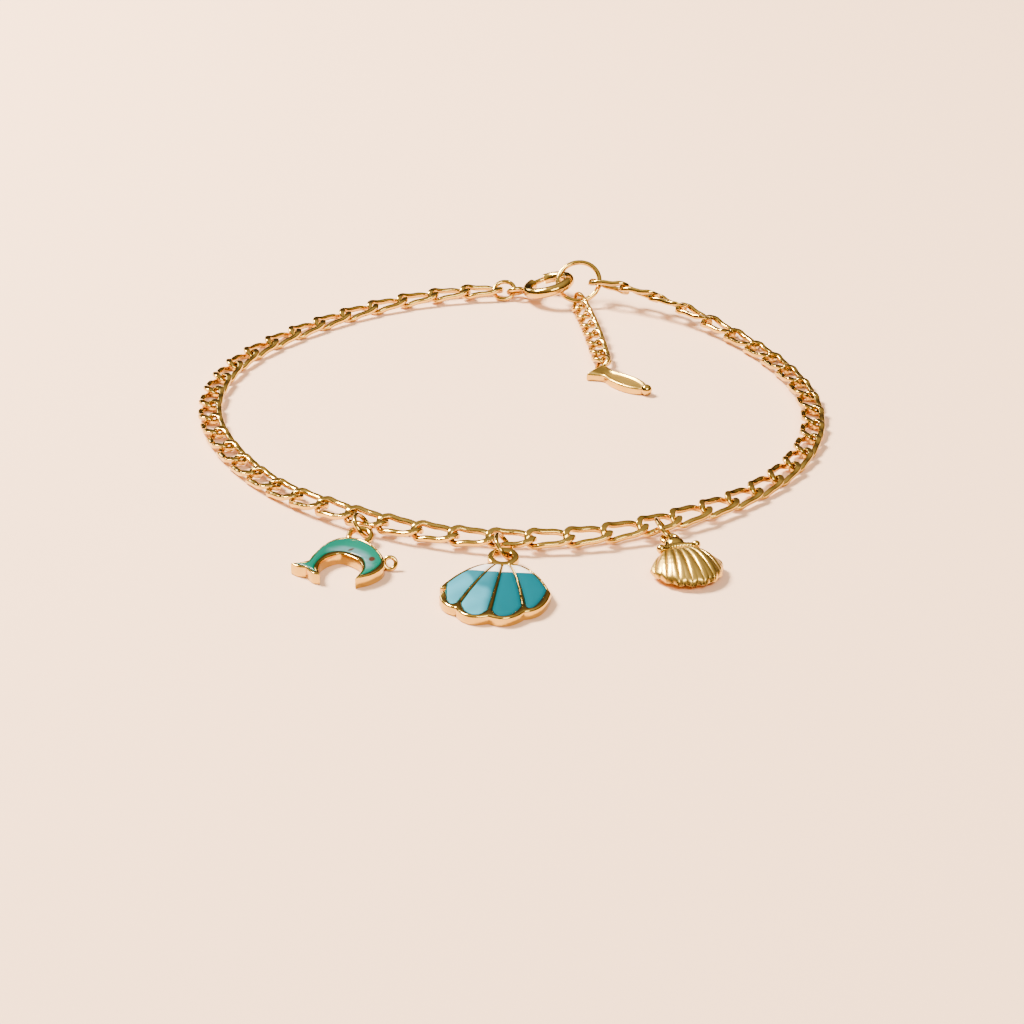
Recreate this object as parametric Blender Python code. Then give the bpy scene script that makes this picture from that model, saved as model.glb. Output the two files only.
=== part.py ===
"""A gold curb-chain bracelet with a dolphin charm, an enamelled shell charm and a cast shell charm.

It lies closed in a loop on a flat surface, z = 0. Lengths are in metres, +Z is up, the charms
point to -Y and the clasp is at +Y. Every piece is sized from the named values below.
"""
import math

import bmesh
import bpy
from mathutils import Matrix, Vector

MM = 0.001

# Clearances and joins
PLAY = 0.12 * MM
LINK_GAP = 0.1 * MM
SEAM_SHARE = 0.45
SOLDER = 0.25 * MM
ENAMEL_GAP = 0.05 * MM
FLOOR_GAP = 0.02 * MM

# Main chain: twisted curb links, filed flat above and below
LINK_PITCH = 3.4 * MM
LINK_WIRE = 0.5 * MM
LINK_WIDTH = 2.25 * MM
LINK_FLAT = 0.46 * MM
LINK_TWIST = math.radians(45)
TWIST_BIAS = 2.4
LEFT_LINKS = 26
RIGHT_LINKS = 25
FRONT_LEAN = math.radians(14)
END_ROLL = math.radians(38)
END_LINKS = 6
LIFT_REACH = 3.5

# Route of the chain: distance from the loop's centre, as a share of its mean radius, at
# equal bearings that start at the front and go round by the right
LOOP_SHARES = [1.026, 1.020, 0.995, 0.985, 0.974, 0.967, 0.988, 1.012,
               1.036, 1.022, 0.995, 1.000, 0.983, 0.958, 0.965, 0.995]
LOOP_START = math.radians(-93.4)

# Clasp: a spring ring on a jump ring, closed round an end ring
CLASP_JUMP_SIZE = 2.6 * MM
CLASP_JUMP_WIRE = 0.45 * MM
CLASP_JUMP_TILT = math.radians(35)
CLASP_EYE_SIZE = 2.0 * MM
CLASP_EYE_WIRE = 0.5 * MM
CLASP_EYE_TILT = math.radians(-35)
CLASP_SIZE = 5.5 * MM
CLASP_TUBE = 1.1 * MM
CLASP_BORE = 0.76 * MM
CLASP_MOUTH = (math.radians(112), math.radians(146))
CLASP_SEAT = math.radians(8)
CLASP_TRAVEL = math.radians(38)
BOLT_WIRE = 0.52 * MM
BOLT_TAIL = math.radians(34)
KNOB_SIZE = 0.34 * MM
KNOB_HEIGHT = 0.5 * MM
KNOB_ANGLE = math.radians(84)
END_RING_SIZE = 4.8 * MM
END_RING_WIRE = 0.5 * MM
END_RING_SLACK = 0.2 * MM

# Extender tail
TAIL_LINKS = 7
TAIL_PITCH = 2.4 * MM
TAIL_WIRE = 0.42 * MM
TAIL_WIDTH = 1.9 * MM
TAIL_LEAN = math.radians(45)
TAIL_HEADING = math.radians(-79)
TAIL_FALL = math.radians(20)
TAIL_BEND = math.radians(-1.0)
TAG_LENGTH = 7.2 * MM
TAG_WIDTH = 3.0 * MM
TAG_THICK = 0.8 * MM
TAG_HEADING = math.radians(-47)
TAG_LOBE = (0.08, 0.24)
TAG_BALL = 1.1 * MM
TAG_LOOP_SIZE = 2.0 * MM
TAG_LOOP_TILT = math.radians(45)
TAG_OUTLINE = [
    (0.0, 0.42, True), (0.12, 0.34, False), (0.26, 0.26, False), (0.46, 0.36, False),
    (0.70, 0.38, False), (0.90, 0.24, False), (0.98, 0.0, False), (0.90, -0.26, False),
    (0.70, -0.40, False), (0.46, -0.38, False), (0.30, -0.28, False), (0.20, -0.40, False),
    (0.10, -0.58, True), (0.05, -0.20, False)]

# Charm rings and loops
CHARM_RING_SIZE = 2.6 * MM
CHARM_RING_WIRE = 0.42 * MM
CHARM_RING_TILT = math.radians(52)
LOOP_WIRE = 0.42 * MM

# Dolphin charm: outlines in shares of its length and height
DOLPHIN_LINK = -4
DOLPHIN_SHIFT = 0.3 * MM
DOLPHIN_STRETCH = 0.3 * MM
DOLPHIN_LOOP = 2.4 * MM
DOLPHIN_EYELET = 1.4 * MM
DOLPHIN_HANG = (0.19, 0.455)
DOLPHIN_LENGTH = 8.05 * MM
DOLPHIN_HEIGHT = 8.1 * MM
DOLPHIN_THICK = 1.1 * MM
DOLPHIN_FILL = 0.35 * MM
DOLPHIN_OUTLINE = [
    (-0.50, -0.16, True), (-0.33, -0.10, False), (-0.28, 0.03, False), (-0.18, 0.28, False),
    (-0.04, 0.45, False), (0.12, 0.48, False), (0.27, 0.40, False), (0.40, 0.21, False),
    (0.49, -0.04, False), (0.49, -0.26, False), (0.37, -0.43, False), (0.20, -0.52, True),
    (0.26, -0.34, False), (0.26, -0.21, False), (0.20, -0.07, False), (0.03, 0.07, False),
    (-0.10, 0.01, False), (-0.18, -0.12, False), (-0.20, -0.27, False), (-0.18, -0.42, True),
    (-0.26, -0.39, False), (-0.34, -0.26, True), (-0.43, -0.23, False)]
DOLPHIN_ENAMEL = [
    (-0.455, -0.152, True), (-0.33, -0.135, False), (-0.282, -0.04, False), (-0.19, 0.24, False),
    (-0.05, 0.415, False), (0.11, 0.45, False), (0.25, 0.375, False), (0.375, 0.20, False),
    (0.455, -0.03, False), (0.455, -0.17, False), (0.36, -0.36, False), (0.245, -0.455, True),
    (0.29, -0.32, False), (0.295, -0.19, False), (0.245, -0.01, False), (0.04, 0.135, False),
    (-0.12, 0.09, False), (-0.215, -0.08, False), (-0.25, -0.24, False), (-0.225, -0.355, True),
    (-0.335, -0.235, True)]

# Enamelled shell charm
BLUE_LINK = 0
BLUE_SHIFT = -0.55 * MM
BLUE_STRETCH = 0.7 * MM
BLUE_HALF_WIDTH = 4.9 * MM
BLUE_LENGTH = 10.2 * MM
BLUE_CORNER = 5.3 * MM
BLUE_NECK = 0.75 * MM
BLUE_BOW = 0.75
BLUE_SCALLOP = 0.05
BLUE_THICK = 0.85 * MM
BLUE_FILL = 0.3 * MM
BLUE_RIM = 0.42 * MM
BLUE_EDGE = 0.26 * MM
BLUE_RIB = 0.2 * MM
BLUE_RIB_FLARE = 0.26 * MM
BLUE_WHITE = 1.65 * MM
BLUE_TILT = math.radians(0.6)
BLUE_TURN = math.radians(-5)
BLUE_NOTCH = -0.93
BLUE_NOTCH_DEPTH = 0.11
BAND_SIZE = 2.6 * MM
BAND_WALL = 0.34 * MM
BAND_WIDTH = 0.5 * MM

# Cast shell charm
GOLD_LINK = 4
GOLD_SHIFT = -0.1 * MM
GOLD_STRETCH = 1.0 * MM
GOLD_LOOP = 1.8 * MM
GOLD_CAP = 2.0 * MM
CAP_TURN = math.radians(9)
GOLD_HALF_WIDTH = 3.3 * MM
GOLD_LENGTH = 6.0 * MM
GOLD_CORNER = 2.45 * MM
GOLD_NECK = 1.35 * MM
GOLD_BOW = 1.0
GOLD_RIBS = 8
GOLD_RIB_HEIGHT = 0.16 * MM
GOLD_RIM_HEIGHT = 0.8 * MM
GOLD_DOME = 1.25 * MM
GOLD_UNDER_INSET = 0.05
GOLD_UNDER_SCALLOP = 0.07
GOLD_TURN = math.radians(4)
COLLAR_SIZE = 0.62 * MM
COLLAR_HALF = 1.75 * MM
COLLAR_SAG = 0.55 * MM
BEAD_SIZE = 0.8 * MM

GOLD = (0.83, 0.58, 0.22)
TEAL = (0.0, 0.45, 0.36)
AQUA = (0.03, 0.36, 0.46)
WHITE = (0.87, 0.82, 0.77)


def clear_scene():
    """Empty the scene before the bracelet is modelled."""
    for obj in list(bpy.data.objects):
        bpy.data.objects.remove(obj, do_unlink=True)


def make_collection(name):
    """Return a new collection linked to the scene."""
    collection = bpy.data.collections.new(name)
    bpy.context.scene.collection.children.link(collection)
    return collection


def make_material(name, colour, metallic, roughness):
    """Return a Principled material."""
    material = bpy.data.materials.new(name)
    material.use_nodes = True
    shader = material.node_tree.nodes["Principled BSDF"]
    shader.inputs["Base Color"].default_value = (*colour, 1.0)
    shader.inputs["Metallic"].default_value = metallic
    shader.inputs["Roughness"].default_value = roughness
    return material


def mesh_of(obj):
    """Return the evaluated mesh of a helper object and remove the helper."""
    graph = bpy.context.evaluated_depsgraph_get()
    mesh = bpy.data.meshes.new_from_object(obj.evaluated_get(graph))
    mesh.transform(obj.matrix_world)
    bpy.data.objects.remove(obj, do_unlink=True)
    return mesh


def closed_mesh_of(obj):
    """Return the evaluated mesh of a helper curve with the seams of its caps closed."""
    mesh = mesh_of(obj)
    edit = bmesh.new()
    edit.from_mesh(mesh)
    bmesh.ops.remove_doubles(edit, verts=edit.verts, dist=0.001 * MM)
    edit.to_mesh(mesh)
    edit.free()
    return mesh


def curve_object(points, cyclic, flat):
    """Return a poly curve object through the points."""
    data = bpy.data.curves.new("helper", "CURVE")
    data.dimensions = "2D" if flat else "3D"
    spline = data.splines.new("POLY")
    spline.points.add(len(points) - 1)
    for knot, point in zip(spline.points, points):
        knot.co = (point[0], point[1], 0.0 if flat else point[2], 1.0)
    spline.use_cyclic_u = cyclic
    obj = bpy.data.objects.new("helper", data)
    bpy.context.scene.collection.objects.link(obj)
    return obj


def tube(points, wire, cyclic=True, resolution=1):
    """Return a wire mesh along the points; resolution 1 gives six sides."""
    obj = curve_object(points, cyclic, False)
    obj.data.bevel_depth = wire / 2
    obj.data.bevel_resolution = resolution
    obj.data.use_fill_caps = not cyclic
    bpy.context.view_layer.update()
    return closed_mesh_of(obj)


def plate(outline, low, high):
    """Return a flat plate with the outline's shape between two heights."""
    obj = curve_object(outline, True, True)
    obj.data.fill_mode = "BOTH"
    obj.data.extrude = (high - low) / 2
    obj.location.z = (high + low) / 2
    bpy.context.view_layer.update()
    return closed_mesh_of(obj)


def ball(size, segments=10, rings=6):
    """Return a ball mesh about the origin."""
    edit = bmesh.new()
    bmesh.ops.create_uvsphere(edit, u_segments=segments, v_segments=rings, radius=size / 2)
    mesh = bpy.data.meshes.new("ball")
    edit.to_mesh(mesh)
    edit.free()
    return mesh


def rod(size, length, segments=10):
    """Return a capped cylinder about the origin along Z."""
    edit = bmesh.new()
    bmesh.ops.create_cone(edit, cap_ends=True, segments=segments, radius1=size / 2,
                          radius2=size / 2, depth=length)
    mesh = bpy.data.meshes.new("rod")
    edit.to_mesh(mesh)
    edit.free()
    return mesh


def moved(mesh, matrix):
    """Return a copy of the mesh moved by the matrix."""
    copy = mesh.copy()
    copy.transform(matrix)
    return copy


def joined(meshes):
    """Return one mesh that holds copies of all the meshes."""
    edit = bmesh.new()
    for mesh in meshes:
        edit.from_mesh(mesh)
    result = bpy.data.meshes.new("joined")
    edit.to_mesh(result)
    edit.free()
    return result


def combined(first, second, operation):
    """Return the Boolean result of two closed meshes, worked out at a thousand times size."""
    body = bpy.data.objects.new("body", moved(first, Matrix.Scale(1 / MM, 4)))
    tool = bpy.data.objects.new("tool", moved(second, Matrix.Scale(1 / MM, 4)))
    for obj in (body, tool):
        bpy.context.scene.collection.objects.link(obj)
    modifier = body.modifiers.new("cut", "BOOLEAN")
    modifier.operation = operation
    modifier.object = tool
    bpy.context.view_layer.update()
    result = mesh_of(body)
    result.transform(Matrix.Scale(MM, 4))
    bpy.data.objects.remove(tool, do_unlink=True)
    return result


def fused(meshes):
    """Return the union of closed meshes that run into each other."""
    result = meshes[0]
    for mesh in meshes[1:]:
        result = combined(result, mesh, "UNION")
    return result


def circle(size, wire, count, stretch=0.0):
    """Return points on the centre line of a ring, drawn out along X by a length."""
    points = []
    for x, y, z in arc((size - wire) / 2, count + 1, 0, 2 * math.pi)[:count]:
        points.append((x + max(-stretch / 2, min(stretch / 2, x)), y, z))
    return points


def arc(radius, count, low, high):
    """Return points on an arc between two angles, both ends included."""
    angles = [low + (high - low) * k / (count - 1) for k in range(count)]
    return [(radius * math.cos(a), radius * math.sin(a), 0.0) for a in angles]


def frame(origin, x_axis, y_axis):
    """Return the matrix of a frame with the given first two axes, made square."""
    x_axis = x_axis.normalized()
    z_axis = x_axis.cross(y_axis).normalized()
    y_axis = z_axis.cross(x_axis)
    matrix = Matrix((x_axis, y_axis, z_axis)).transposed().to_4x4()
    return Matrix.Translation(origin) @ matrix


def ring(centre, along, tilt, size, wire, count=12, stretch=0.0):
    """Return a ring whose plane holds the direction along and rises by tilt to its left."""
    across = Vector((0, 0, 1)).cross(along)
    rising = across * math.cos(tilt) + Vector((0, 0, math.sin(tilt)))
    return moved(tube(circle(size, wire, count, stretch), wire), frame(centre, along, rising))


def smooth_outline(knots, scale_x, scale_y, steps=2):
    """Return a closed outline through the knots: rounded, but sharp at marked knots."""
    points = []
    count = len(knots)
    for k in range(count):
        before, start, end, after = (knots[(k + n) % count] for n in (-1, 0, 1, 2))
        if start[2]:
            before = start
        if end[2]:
            after = end
        for step in range(steps):
            t = step / steps
            point = []
            for axis in (0, 1):
                a, b, c, d = before[axis], start[axis], end[axis], after[axis]
                point.append(0.5 * (2 * b + (c - a) * t + (2 * a - 5 * b + 4 * c - d) * t ** 2
                                    + (3 * b - a - 3 * c + d) * t ** 3))
            points.append((point[0] * scale_x, point[1] * scale_y))
    return points


# Chain


def link_mesh(pitch, wire, width, twist, flat):
    """Return one curb link along X: an oval of wire whose ends twist, filed flat."""
    half_long = (pitch + wire + LINK_GAP) / 2
    half_wide = (width - wire) / 2
    straight = half_long - half_wide
    points = []
    for side in (1, -1):
        for step in range(5):
            angle = math.pi * (step - 2) / 4
            x = side * (straight + half_wide * math.cos(angle))
            y = side * half_wide * math.sin(angle)
            points.append((x, y))
    turned = []
    for x, y in points:
        turn = -math.copysign(twist * abs(x / half_long) ** TWIST_BIAS, x)
        turned.append((x, y * math.cos(turn), y * math.sin(turn)))
    mesh = tube(turned, wire)
    for vertex in mesh.vertices:
        vertex.co.z = max(-flat, min(flat, vertex.co.z))
    return mesh


def rest_height(mesh, roll):
    """Return how high a link's middle lies when the link is rolled by an angle."""
    low = min(v.co.y * math.sin(roll) + v.co.z * math.cos(roll) for v in mesh.vertices)
    return FLOOR_GAP - low


def link_matrix(start, end, roll):
    """Return the frame of a link between two joints, its left side rolled up."""
    along = end - start
    left = Vector((0, 0, 1)).cross(along).normalized()
    up = along.cross(left).normalized()
    rolled = left * math.cos(roll) + up * math.sin(roll)
    return frame((start + end) / 2, along, rolled)


def chain_mesh(link, wire, joints, rolls):
    """Return a run of links, soldered by a short pin where each bears on the next."""
    links = ([], [])
    for index, roll in enumerate(rolls):
        place = link_matrix(joints[index], joints[index + 1], roll)
        links[index % 2].append(moved(link, place))
    pin = rod(wire * SEAM_SHARE, wire * 0.8, 4)
    pins = []
    for before, here, after in zip(joints, joints[1:], joints[2:]):
        along = after - before
        across = Vector((0, 0, 1)).cross(along)
        pins.append(moved(pin, frame(here, across, along.cross(across))))
    return fused([joined(links[0]), joined(pins), joined(links[1])])


def loop_point(bearing, radius):
    """Return the route's point at a bearing, on a smooth curve through the shares."""
    count = len(LOOP_SHARES)
    place = ((bearing + math.pi / 2) / (2 * math.pi) * count) % count
    index = int(place)
    t = place - index
    a, b, c, d = (LOOP_SHARES[(index + n) % count] for n in (-1, 0, 1, 2))
    share = 0.5 * (2 * b + (c - a) * t + (2 * a - 5 * b + 4 * c - d) * t ** 2
                   + (3 * b - a - 3 * c + d) * t ** 3)
    return Vector((math.cos(bearing), math.sin(bearing), 0)) * radius * share


def walk_route(radius, count, direction):
    """Return joints a pitch apart along the route, from the front joint."""
    bearing = LOOP_START
    joints = [loop_point(bearing, radius)]
    for _ in range(count):
        low, high = 0.0, 2 * LINK_PITCH / radius
        for _ in range(40):
            middle = (low + high) / 2
            reach = (loop_point(bearing + direction * middle, radius) - joints[-1]).length
            if reach < LINK_PITCH:
                low = middle
            else:
                high = middle
        bearing += direction * low
        joints.append(loop_point(bearing, radius))
    return joints


def inner_radius(size, wire):
    """Return the radius of a ring's hole."""
    return size / 2 - wire


class Closure:
    """The clasp's pieces laid out along the line from one chain end to the other."""

    def __init__(self):
        eye_hole = inner_radius(CLASP_EYE_SIZE, CLASP_EYE_WIRE)
        jump_hole = inner_radius(CLASP_JUMP_SIZE, CLASP_JUMP_WIRE)
        end_hole = inner_radius(END_RING_SIZE, END_RING_WIRE)
        hook = 2 * PLAY - LINK_GAP / 2
        jump_radius = (CLASP_JUMP_SIZE - CLASP_JUMP_WIRE) / 2
        self.low = jump_radius * math.sin(CLASP_JUMP_TILT) + CLASP_JUMP_WIRE / 2 + FLOOR_GAP
        self.jump = jump_hole - hook
        self.eye = self.jump + jump_hole - PLAY + eye_hole
        self.clasp_radius = (CLASP_SIZE - CLASP_TUBE) / 2
        self.end_radius = (END_RING_SIZE - END_RING_WIRE) / 2
        reach = end_hole - PLAY - CLASP_TUBE / 2 - END_RING_SLACK
        apart = self.clasp_radius + reach
        cross = (apart ** 2 + self.clasp_radius ** 2 - self.end_radius ** 2) / (2 * apart)
        half = math.sqrt(self.clasp_radius ** 2 - cross ** 2)
        self.end_tilt = math.asin(((CLASP_TUBE + END_RING_WIRE) / 2 + 2 * PLAY) / half)
        under = END_RING_WIRE / 2 + TAIL_WIRE + PLAY + FLOOR_GAP
        self.high = under + self.end_radius * math.sin(self.end_tilt)
        arm = (CLASP_EYE_SIZE + CLASP_SIZE) / 2 - SOLDER
        self.pitch = math.asin((self.high - self.low) / (arm + self.clasp_radius))
        self.clasp = self.eye + arm * math.cos(self.pitch)
        self.clasp_high = self.low + arm * math.sin(self.pitch)
        self.end = self.clasp + self.clasp_radius * math.cos(self.pitch) + reach
        self.span = self.end + end_hole - hook - PLAY


def solve_radius(closure):
    """Return the mean radius at which the clasp just bridges the chain's two ends."""
    around = LINK_PITCH * (LEFT_LINKS + RIGHT_LINKS) + closure.span
    low, high = 0.8 * around / (2 * math.pi), 1.2 * around / (2 * math.pi)
    for _ in range(50):
        radius = (low + high) / 2
        left = walk_route(radius, LEFT_LINKS, -1)
        right = walk_route(radius, RIGHT_LINKS, 1)
        if (left[-1] - right[-1]).length < closure.span:
            low = radius
        else:
            high = radius
    return radius


def ease(share):
    """Return a smooth step from 0 to 1."""
    share = max(0.0, min(1.0, share))
    return share * share * (3 - 2 * share)


def charm_share(place):
    """Return how far the chain is lifted at a place counted in links, 1 at a charm's link."""
    centres = (DOLPHIN_LINK + 0.5, BLUE_LINK + 0.5, GOLD_LINK + 0.5)
    return max(ease((LIFT_REACH - abs(place - centre)) / (LIFT_REACH - 1)) for centre in centres)


def lifted_height(roll):
    """Return the height at which a link's outer wire clears the charm ring passing below it."""
    clear = FLOOR_GAP + CHARM_RING_WIRE + 2 * PLAY + LINK_WIRE / 2
    return clear + (LINK_WIDTH - LINK_WIRE) / 2 * math.sin(roll)


def chain_side(link, flat_joints, direction, end_height, end_roll):
    """Return the joints with their heights and the links' rolls on one side of the front."""
    count = len(flat_joints) - 1
    joint_rolls = []
    joints = []
    for index, point in enumerate(flat_joints):
        lean = FRONT_LEAN * (1 - point.y / point.length) / 2
        near_end = ease(1 - (count - index) / END_LINKS)
        joint_rolls.append(lean + (end_roll - lean) * near_end)
        height = rest_height(link, joint_rolls[-1])
        height += (lifted_height(joint_rolls[-1]) - height) * charm_share(direction * index)
        height += (end_height - height) * near_end
        joints.append(Vector((point.x, point.y, height)))
    rolls = [(a + b) / 2 for a, b in zip(joint_rolls, joint_rolls[1:])]
    return joints, rolls


def charm_anchor(left, right, index, shift):
    """Return the middle of a link's outer wire, where a charm's ring hangs."""
    joints, rolls = left if index < 0 else right
    step = -index - 1 if index < 0 else index
    start, end = joints[step], joints[step + 1]
    if index < 0:
        start, end = end, start
    matrix = link_matrix(start, end, rolls[step])
    return matrix @ Vector((shift, -(LINK_WIDTH - LINK_WIRE) / 2, 0))


# Clasp


def clasp_body(closure):
    """Return the spring ring's tube with its bore, thumb slot and soldered eye."""
    mouth_low, mouth_high = CLASP_MOUTH
    around = mouth_low + 2 * math.pi
    radius = (CLASP_SIZE - CLASP_TUBE) / 2
    body = tube(arc(radius, 24, mouth_high, around), CLASP_TUBE, False, 2)
    tail = KNOB_ANGLE - CLASP_TRAVEL - BOLT_TAIL
    overrun = math.radians(6)
    housing = tube(arc(radius, 9, tail, mouth_low + overrun), CLASP_BORE, False, 2)
    seat = tube(arc(radius, 3, mouth_high - overrun, mouth_high + CLASP_SEAT), CLASP_BORE, False, 2)
    slot_wide = KNOB_SIZE + 3 * PLAY
    slack = slot_wide / 2 / radius
    slot = tube(arc(radius + CLASP_TUBE * 0.45, 6, KNOB_ANGLE - CLASP_TRAVEL - slack, KNOB_ANGLE + slack),
                slot_wide, False, 2)
    for cutter in (housing, seat, slot):
        body = combined(body, cutter, "DIFFERENCE")
    arm = (CLASP_EYE_SIZE + CLASP_SIZE) / 2 - SOLDER
    eye = ring(Vector((-arm, 0, 0)), Vector((1, 0, 0)), CLASP_EYE_TILT, CLASP_EYE_SIZE, CLASP_EYE_WIRE)
    return combined(body, eye, "UNION")


def clasp_bolt():
    """Return the sprung bolt: a curved rod across the mouth with its thumb knob."""
    radius = (CLASP_SIZE - CLASP_TUBE) / 2
    tip = CLASP_MOUTH[1] + CLASP_SEAT * 0.6
    bolt = tube(arc(radius, 9, KNOB_ANGLE - BOLT_TAIL * 0.8, tip), BOLT_WIRE, False)
    low, high = radius, CLASP_SIZE / 2 + KNOB_HEIGHT
    knob = rod(KNOB_SIZE, high - low, 8)
    out = Vector((math.cos(KNOB_ANGLE), math.sin(KNOB_ANGLE), 0))
    knob.transform(frame(out * (low + high) / 2, Vector((0, 0, 1)), out.cross(Vector((0, 0, 1)))))
    return combined(bolt, knob, "UNION")


# Tail


def tail_joints(link, start):
    """Return the joints and rolls of the extender, which falls to the surface and lies on it."""
    heading = TAIL_HEADING
    points = [start]
    rolls = []
    for index in range(TAIL_LINKS):
        roll = TAIL_LEAN * (1 - index / TAIL_LINKS)
        rest = tag_loop_height() if index == TAIL_LINKS - 1 else rest_height(link, roll)
        fall = max(rest - points[-1].z, -TAIL_PITCH * math.sin(TAIL_FALL))
        flat = math.sqrt(TAIL_PITCH ** 2 - fall ** 2)
        step = Vector((math.cos(heading) * flat, math.sin(heading) * flat, fall))
        points.append(points[-1] + step)
        rolls.append(roll)
        heading += TAIL_BEND
    return points, rolls


def tag_outline():
    """Return the end tag's outline along X: a forked tail, a waist and a long rounded body."""
    return smooth_outline(TAG_OUTLINE, TAG_LENGTH, TAG_WIDTH)


def tag_loop_height():
    """Return how high the tag's loop stands above the surface."""
    return (TAG_LOOP_SIZE - TAIL_WIRE) / 2 * math.sin(TAG_LOOP_TILT) + TAIL_WIRE / 2 + FLOOR_GAP


def tail_tag(joint, before):
    """Return the end tag with its loop hooked in the last link and a ball at its tip."""
    hung = Vector((joint.x - before.x, joint.y - before.y, 0)).normalized()
    along = Vector((math.cos(TAG_HEADING), math.sin(TAG_HEADING), 0))
    left = Vector((0, 0, 1)).cross(along)
    size = TAG_LOOP_SIZE
    hole = inner_radius(size, TAIL_WIRE)
    centre = joint + hung * (hole - 1.5 * PLAY + LINK_GAP / 2)
    loop = ring(centre, hung, TAG_LOOP_TILT, size, TAIL_WIRE, 10)
    seam = centre + hung * (size - TAIL_WIRE) / 2
    origin = seam - along * TAG_LOBE[0] * TAG_LENGTH - left * TAG_LOBE[1] * TAG_WIDTH
    origin.z = 0
    place = frame(origin, along, left)
    body = moved(plate(tag_outline(), 0.0, TAG_THICK), place)
    tip = moved(ball(TAG_BALL), place @ Matrix.Translation((TAG_LENGTH, 0, TAG_BALL / 2)))
    return fused([body, tip, loop])


# Charms


class Hanging:
    """A charm's ring, and its loop that slopes down from the ring to the charm's edge."""

    def __init__(self, anchor, heading, stretch, loop_size, loop_wire, seat):
        self.along = Vector((math.cos(heading), math.sin(heading), 0))
        self.stretch = stretch
        hole = inner_radius(CHARM_RING_SIZE, CHARM_RING_WIRE) + stretch / 2
        radius = (CHARM_RING_SIZE - CHARM_RING_WIRE) / 2
        high = radius * math.sin(CHARM_RING_TILT) + CHARM_RING_WIRE / 2 + FLOOR_GAP
        self.ring_centre = anchor + self.along * (hole - LINK_WIRE / 2 - 2 * PLAY)
        self.ring_centre.z = high
        near = self.ring_centre + self.along * (hole - loop_wire / 2 - 2 * PLAY)
        reach = loop_size - loop_wire
        slope = math.asin((high - seat) / reach)
        self.loop_along = self.along * math.cos(slope) - Vector((0, 0, math.sin(slope)))
        self.loop_centre = near + self.loop_along * reach / 2
        self.edge = near + self.along * (reach * math.cos(slope) + loop_wire / 2)
        self.edge.z = 0

    def ring_mesh(self):
        """Return the jump ring, which leans the way the links twist."""
        return ring(self.ring_centre, self.along, -CHARM_RING_TILT, CHARM_RING_SIZE,
                    CHARM_RING_WIRE, stretch=self.stretch)

    def place(self, sink):
        """Return the charm's frame: X down the charm, its top edge sunk into the loop."""
        left = Vector((0, 0, 1)).cross(self.along)
        return frame(self.edge - self.along * sink, self.along, left)


def dolphin_pieces(anchor):
    """Return the dolphin's ring, its gold body and its enamel."""
    hang = Hanging(anchor, math.radians(-97), DOLPHIN_STRETCH, DOLPHIN_LOOP, LOOP_WIRE,
                   DOLPHIN_THICK / 2)
    top = Vector((DOLPHIN_HANG[0] * DOLPHIN_LENGTH, DOLPHIN_HANG[1] * DOLPHIN_HEIGHT, 0))
    place = Matrix.Translation(hang.edge + Vector((0, SOLDER, 0)) - top)
    body = plate(smooth_outline(DOLPHIN_OUTLINE, DOLPHIN_LENGTH, DOLPHIN_HEIGHT), 0, DOLPHIN_THICK)
    outline = smooth_outline(DOLPHIN_ENAMEL, DOLPHIN_LENGTH, DOLPHIN_HEIGHT)
    floor = DOLPHIN_THICK - DOLPHIN_FILL
    body = combined(body, plate(outline, floor, DOLPHIN_THICK + DOLPHIN_FILL), "DIFFERENCE")
    enamel = plate(shrunk(outline, ENAMEL_GAP), floor + ENAMEL_GAP, DOLPHIN_THICK - ENAMEL_GAP)
    loop = ring(hang.loop_centre, hang.loop_along, 0, DOLPHIN_LOOP, LOOP_WIRE)
    eyelet_wire = LOOP_WIRE * 0.8
    side = Vector((0.49 * DOLPHIN_LENGTH, -0.06 * DOLPHIN_HEIGHT, DOLPHIN_THICK * 0.6))
    side.x += DOLPHIN_EYELET / 2 - eyelet_wire / 2
    eyelet = ring(place @ side, Vector((1, 0, 0)), math.radians(35), DOLPHIN_EYELET, eyelet_wire, 10)
    body = fused([moved(body, place), loop, eyelet])
    return hang.ring_mesh(), body, moved(enamel, place)


def shrunk(outline, distance):
    """Return an outline moved inwards by a small distance along its own normals."""
    area = sum(a[0] * b[1] - b[0] * a[1] for a, b in zip(outline, outline[1:] + outline[:1]))
    side = 1 if area > 0 else -1
    result = []
    for index, point in enumerate(outline):
        before = Vector(outline[index - 1])
        after = Vector(outline[(index + 1) % len(outline)])
        here = Vector(point)
        first = (here - before).normalized()
        second = (after - here).normalized()
        normal = Vector((-first.y - second.y, first.x + second.x)).normalized()
        spread = max(0.45, normal.dot(Vector((-first.y, first.x))))
        result.append(tuple(here + normal * side * distance / spread))
    return result


def fan_point(fan, s, t):
    """Return a shell's plan point: s across it from -1 to 1, t down it from hinge to rim."""
    half_width, length, corner, neck, bow, scallop, ribs = fan
    spread = math.radians(72)
    wide = half_width * math.sin(spread * s) / math.sin(spread)
    deep = length - (length - corner) * abs(s) ** 2.1
    lobes = 1 + scallop * (abs(math.sin(math.pi * ribs * s / 2)) - 0.5)
    wide *= lobes
    deep *= lobes
    return neck * s * (1 - t) + wide * t ** (bow - 0.2 * s * s), deep * t


BLUE_CELLS = 4
BLUE_FAN = (BLUE_HALF_WIDTH, BLUE_LENGTH, BLUE_CORNER, BLUE_NECK, BLUE_BOW, BLUE_SCALLOP, BLUE_CELLS)
GOLD_FAN = (GOLD_HALF_WIDTH, GOLD_LENGTH, GOLD_CORNER, GOLD_NECK, GOLD_BOW, 0.0, GOLD_RIBS)
GOLD_UNDER_FAN = (*GOLD_FAN[:5], GOLD_UNDER_SCALLOP, GOLD_RIBS)


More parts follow.
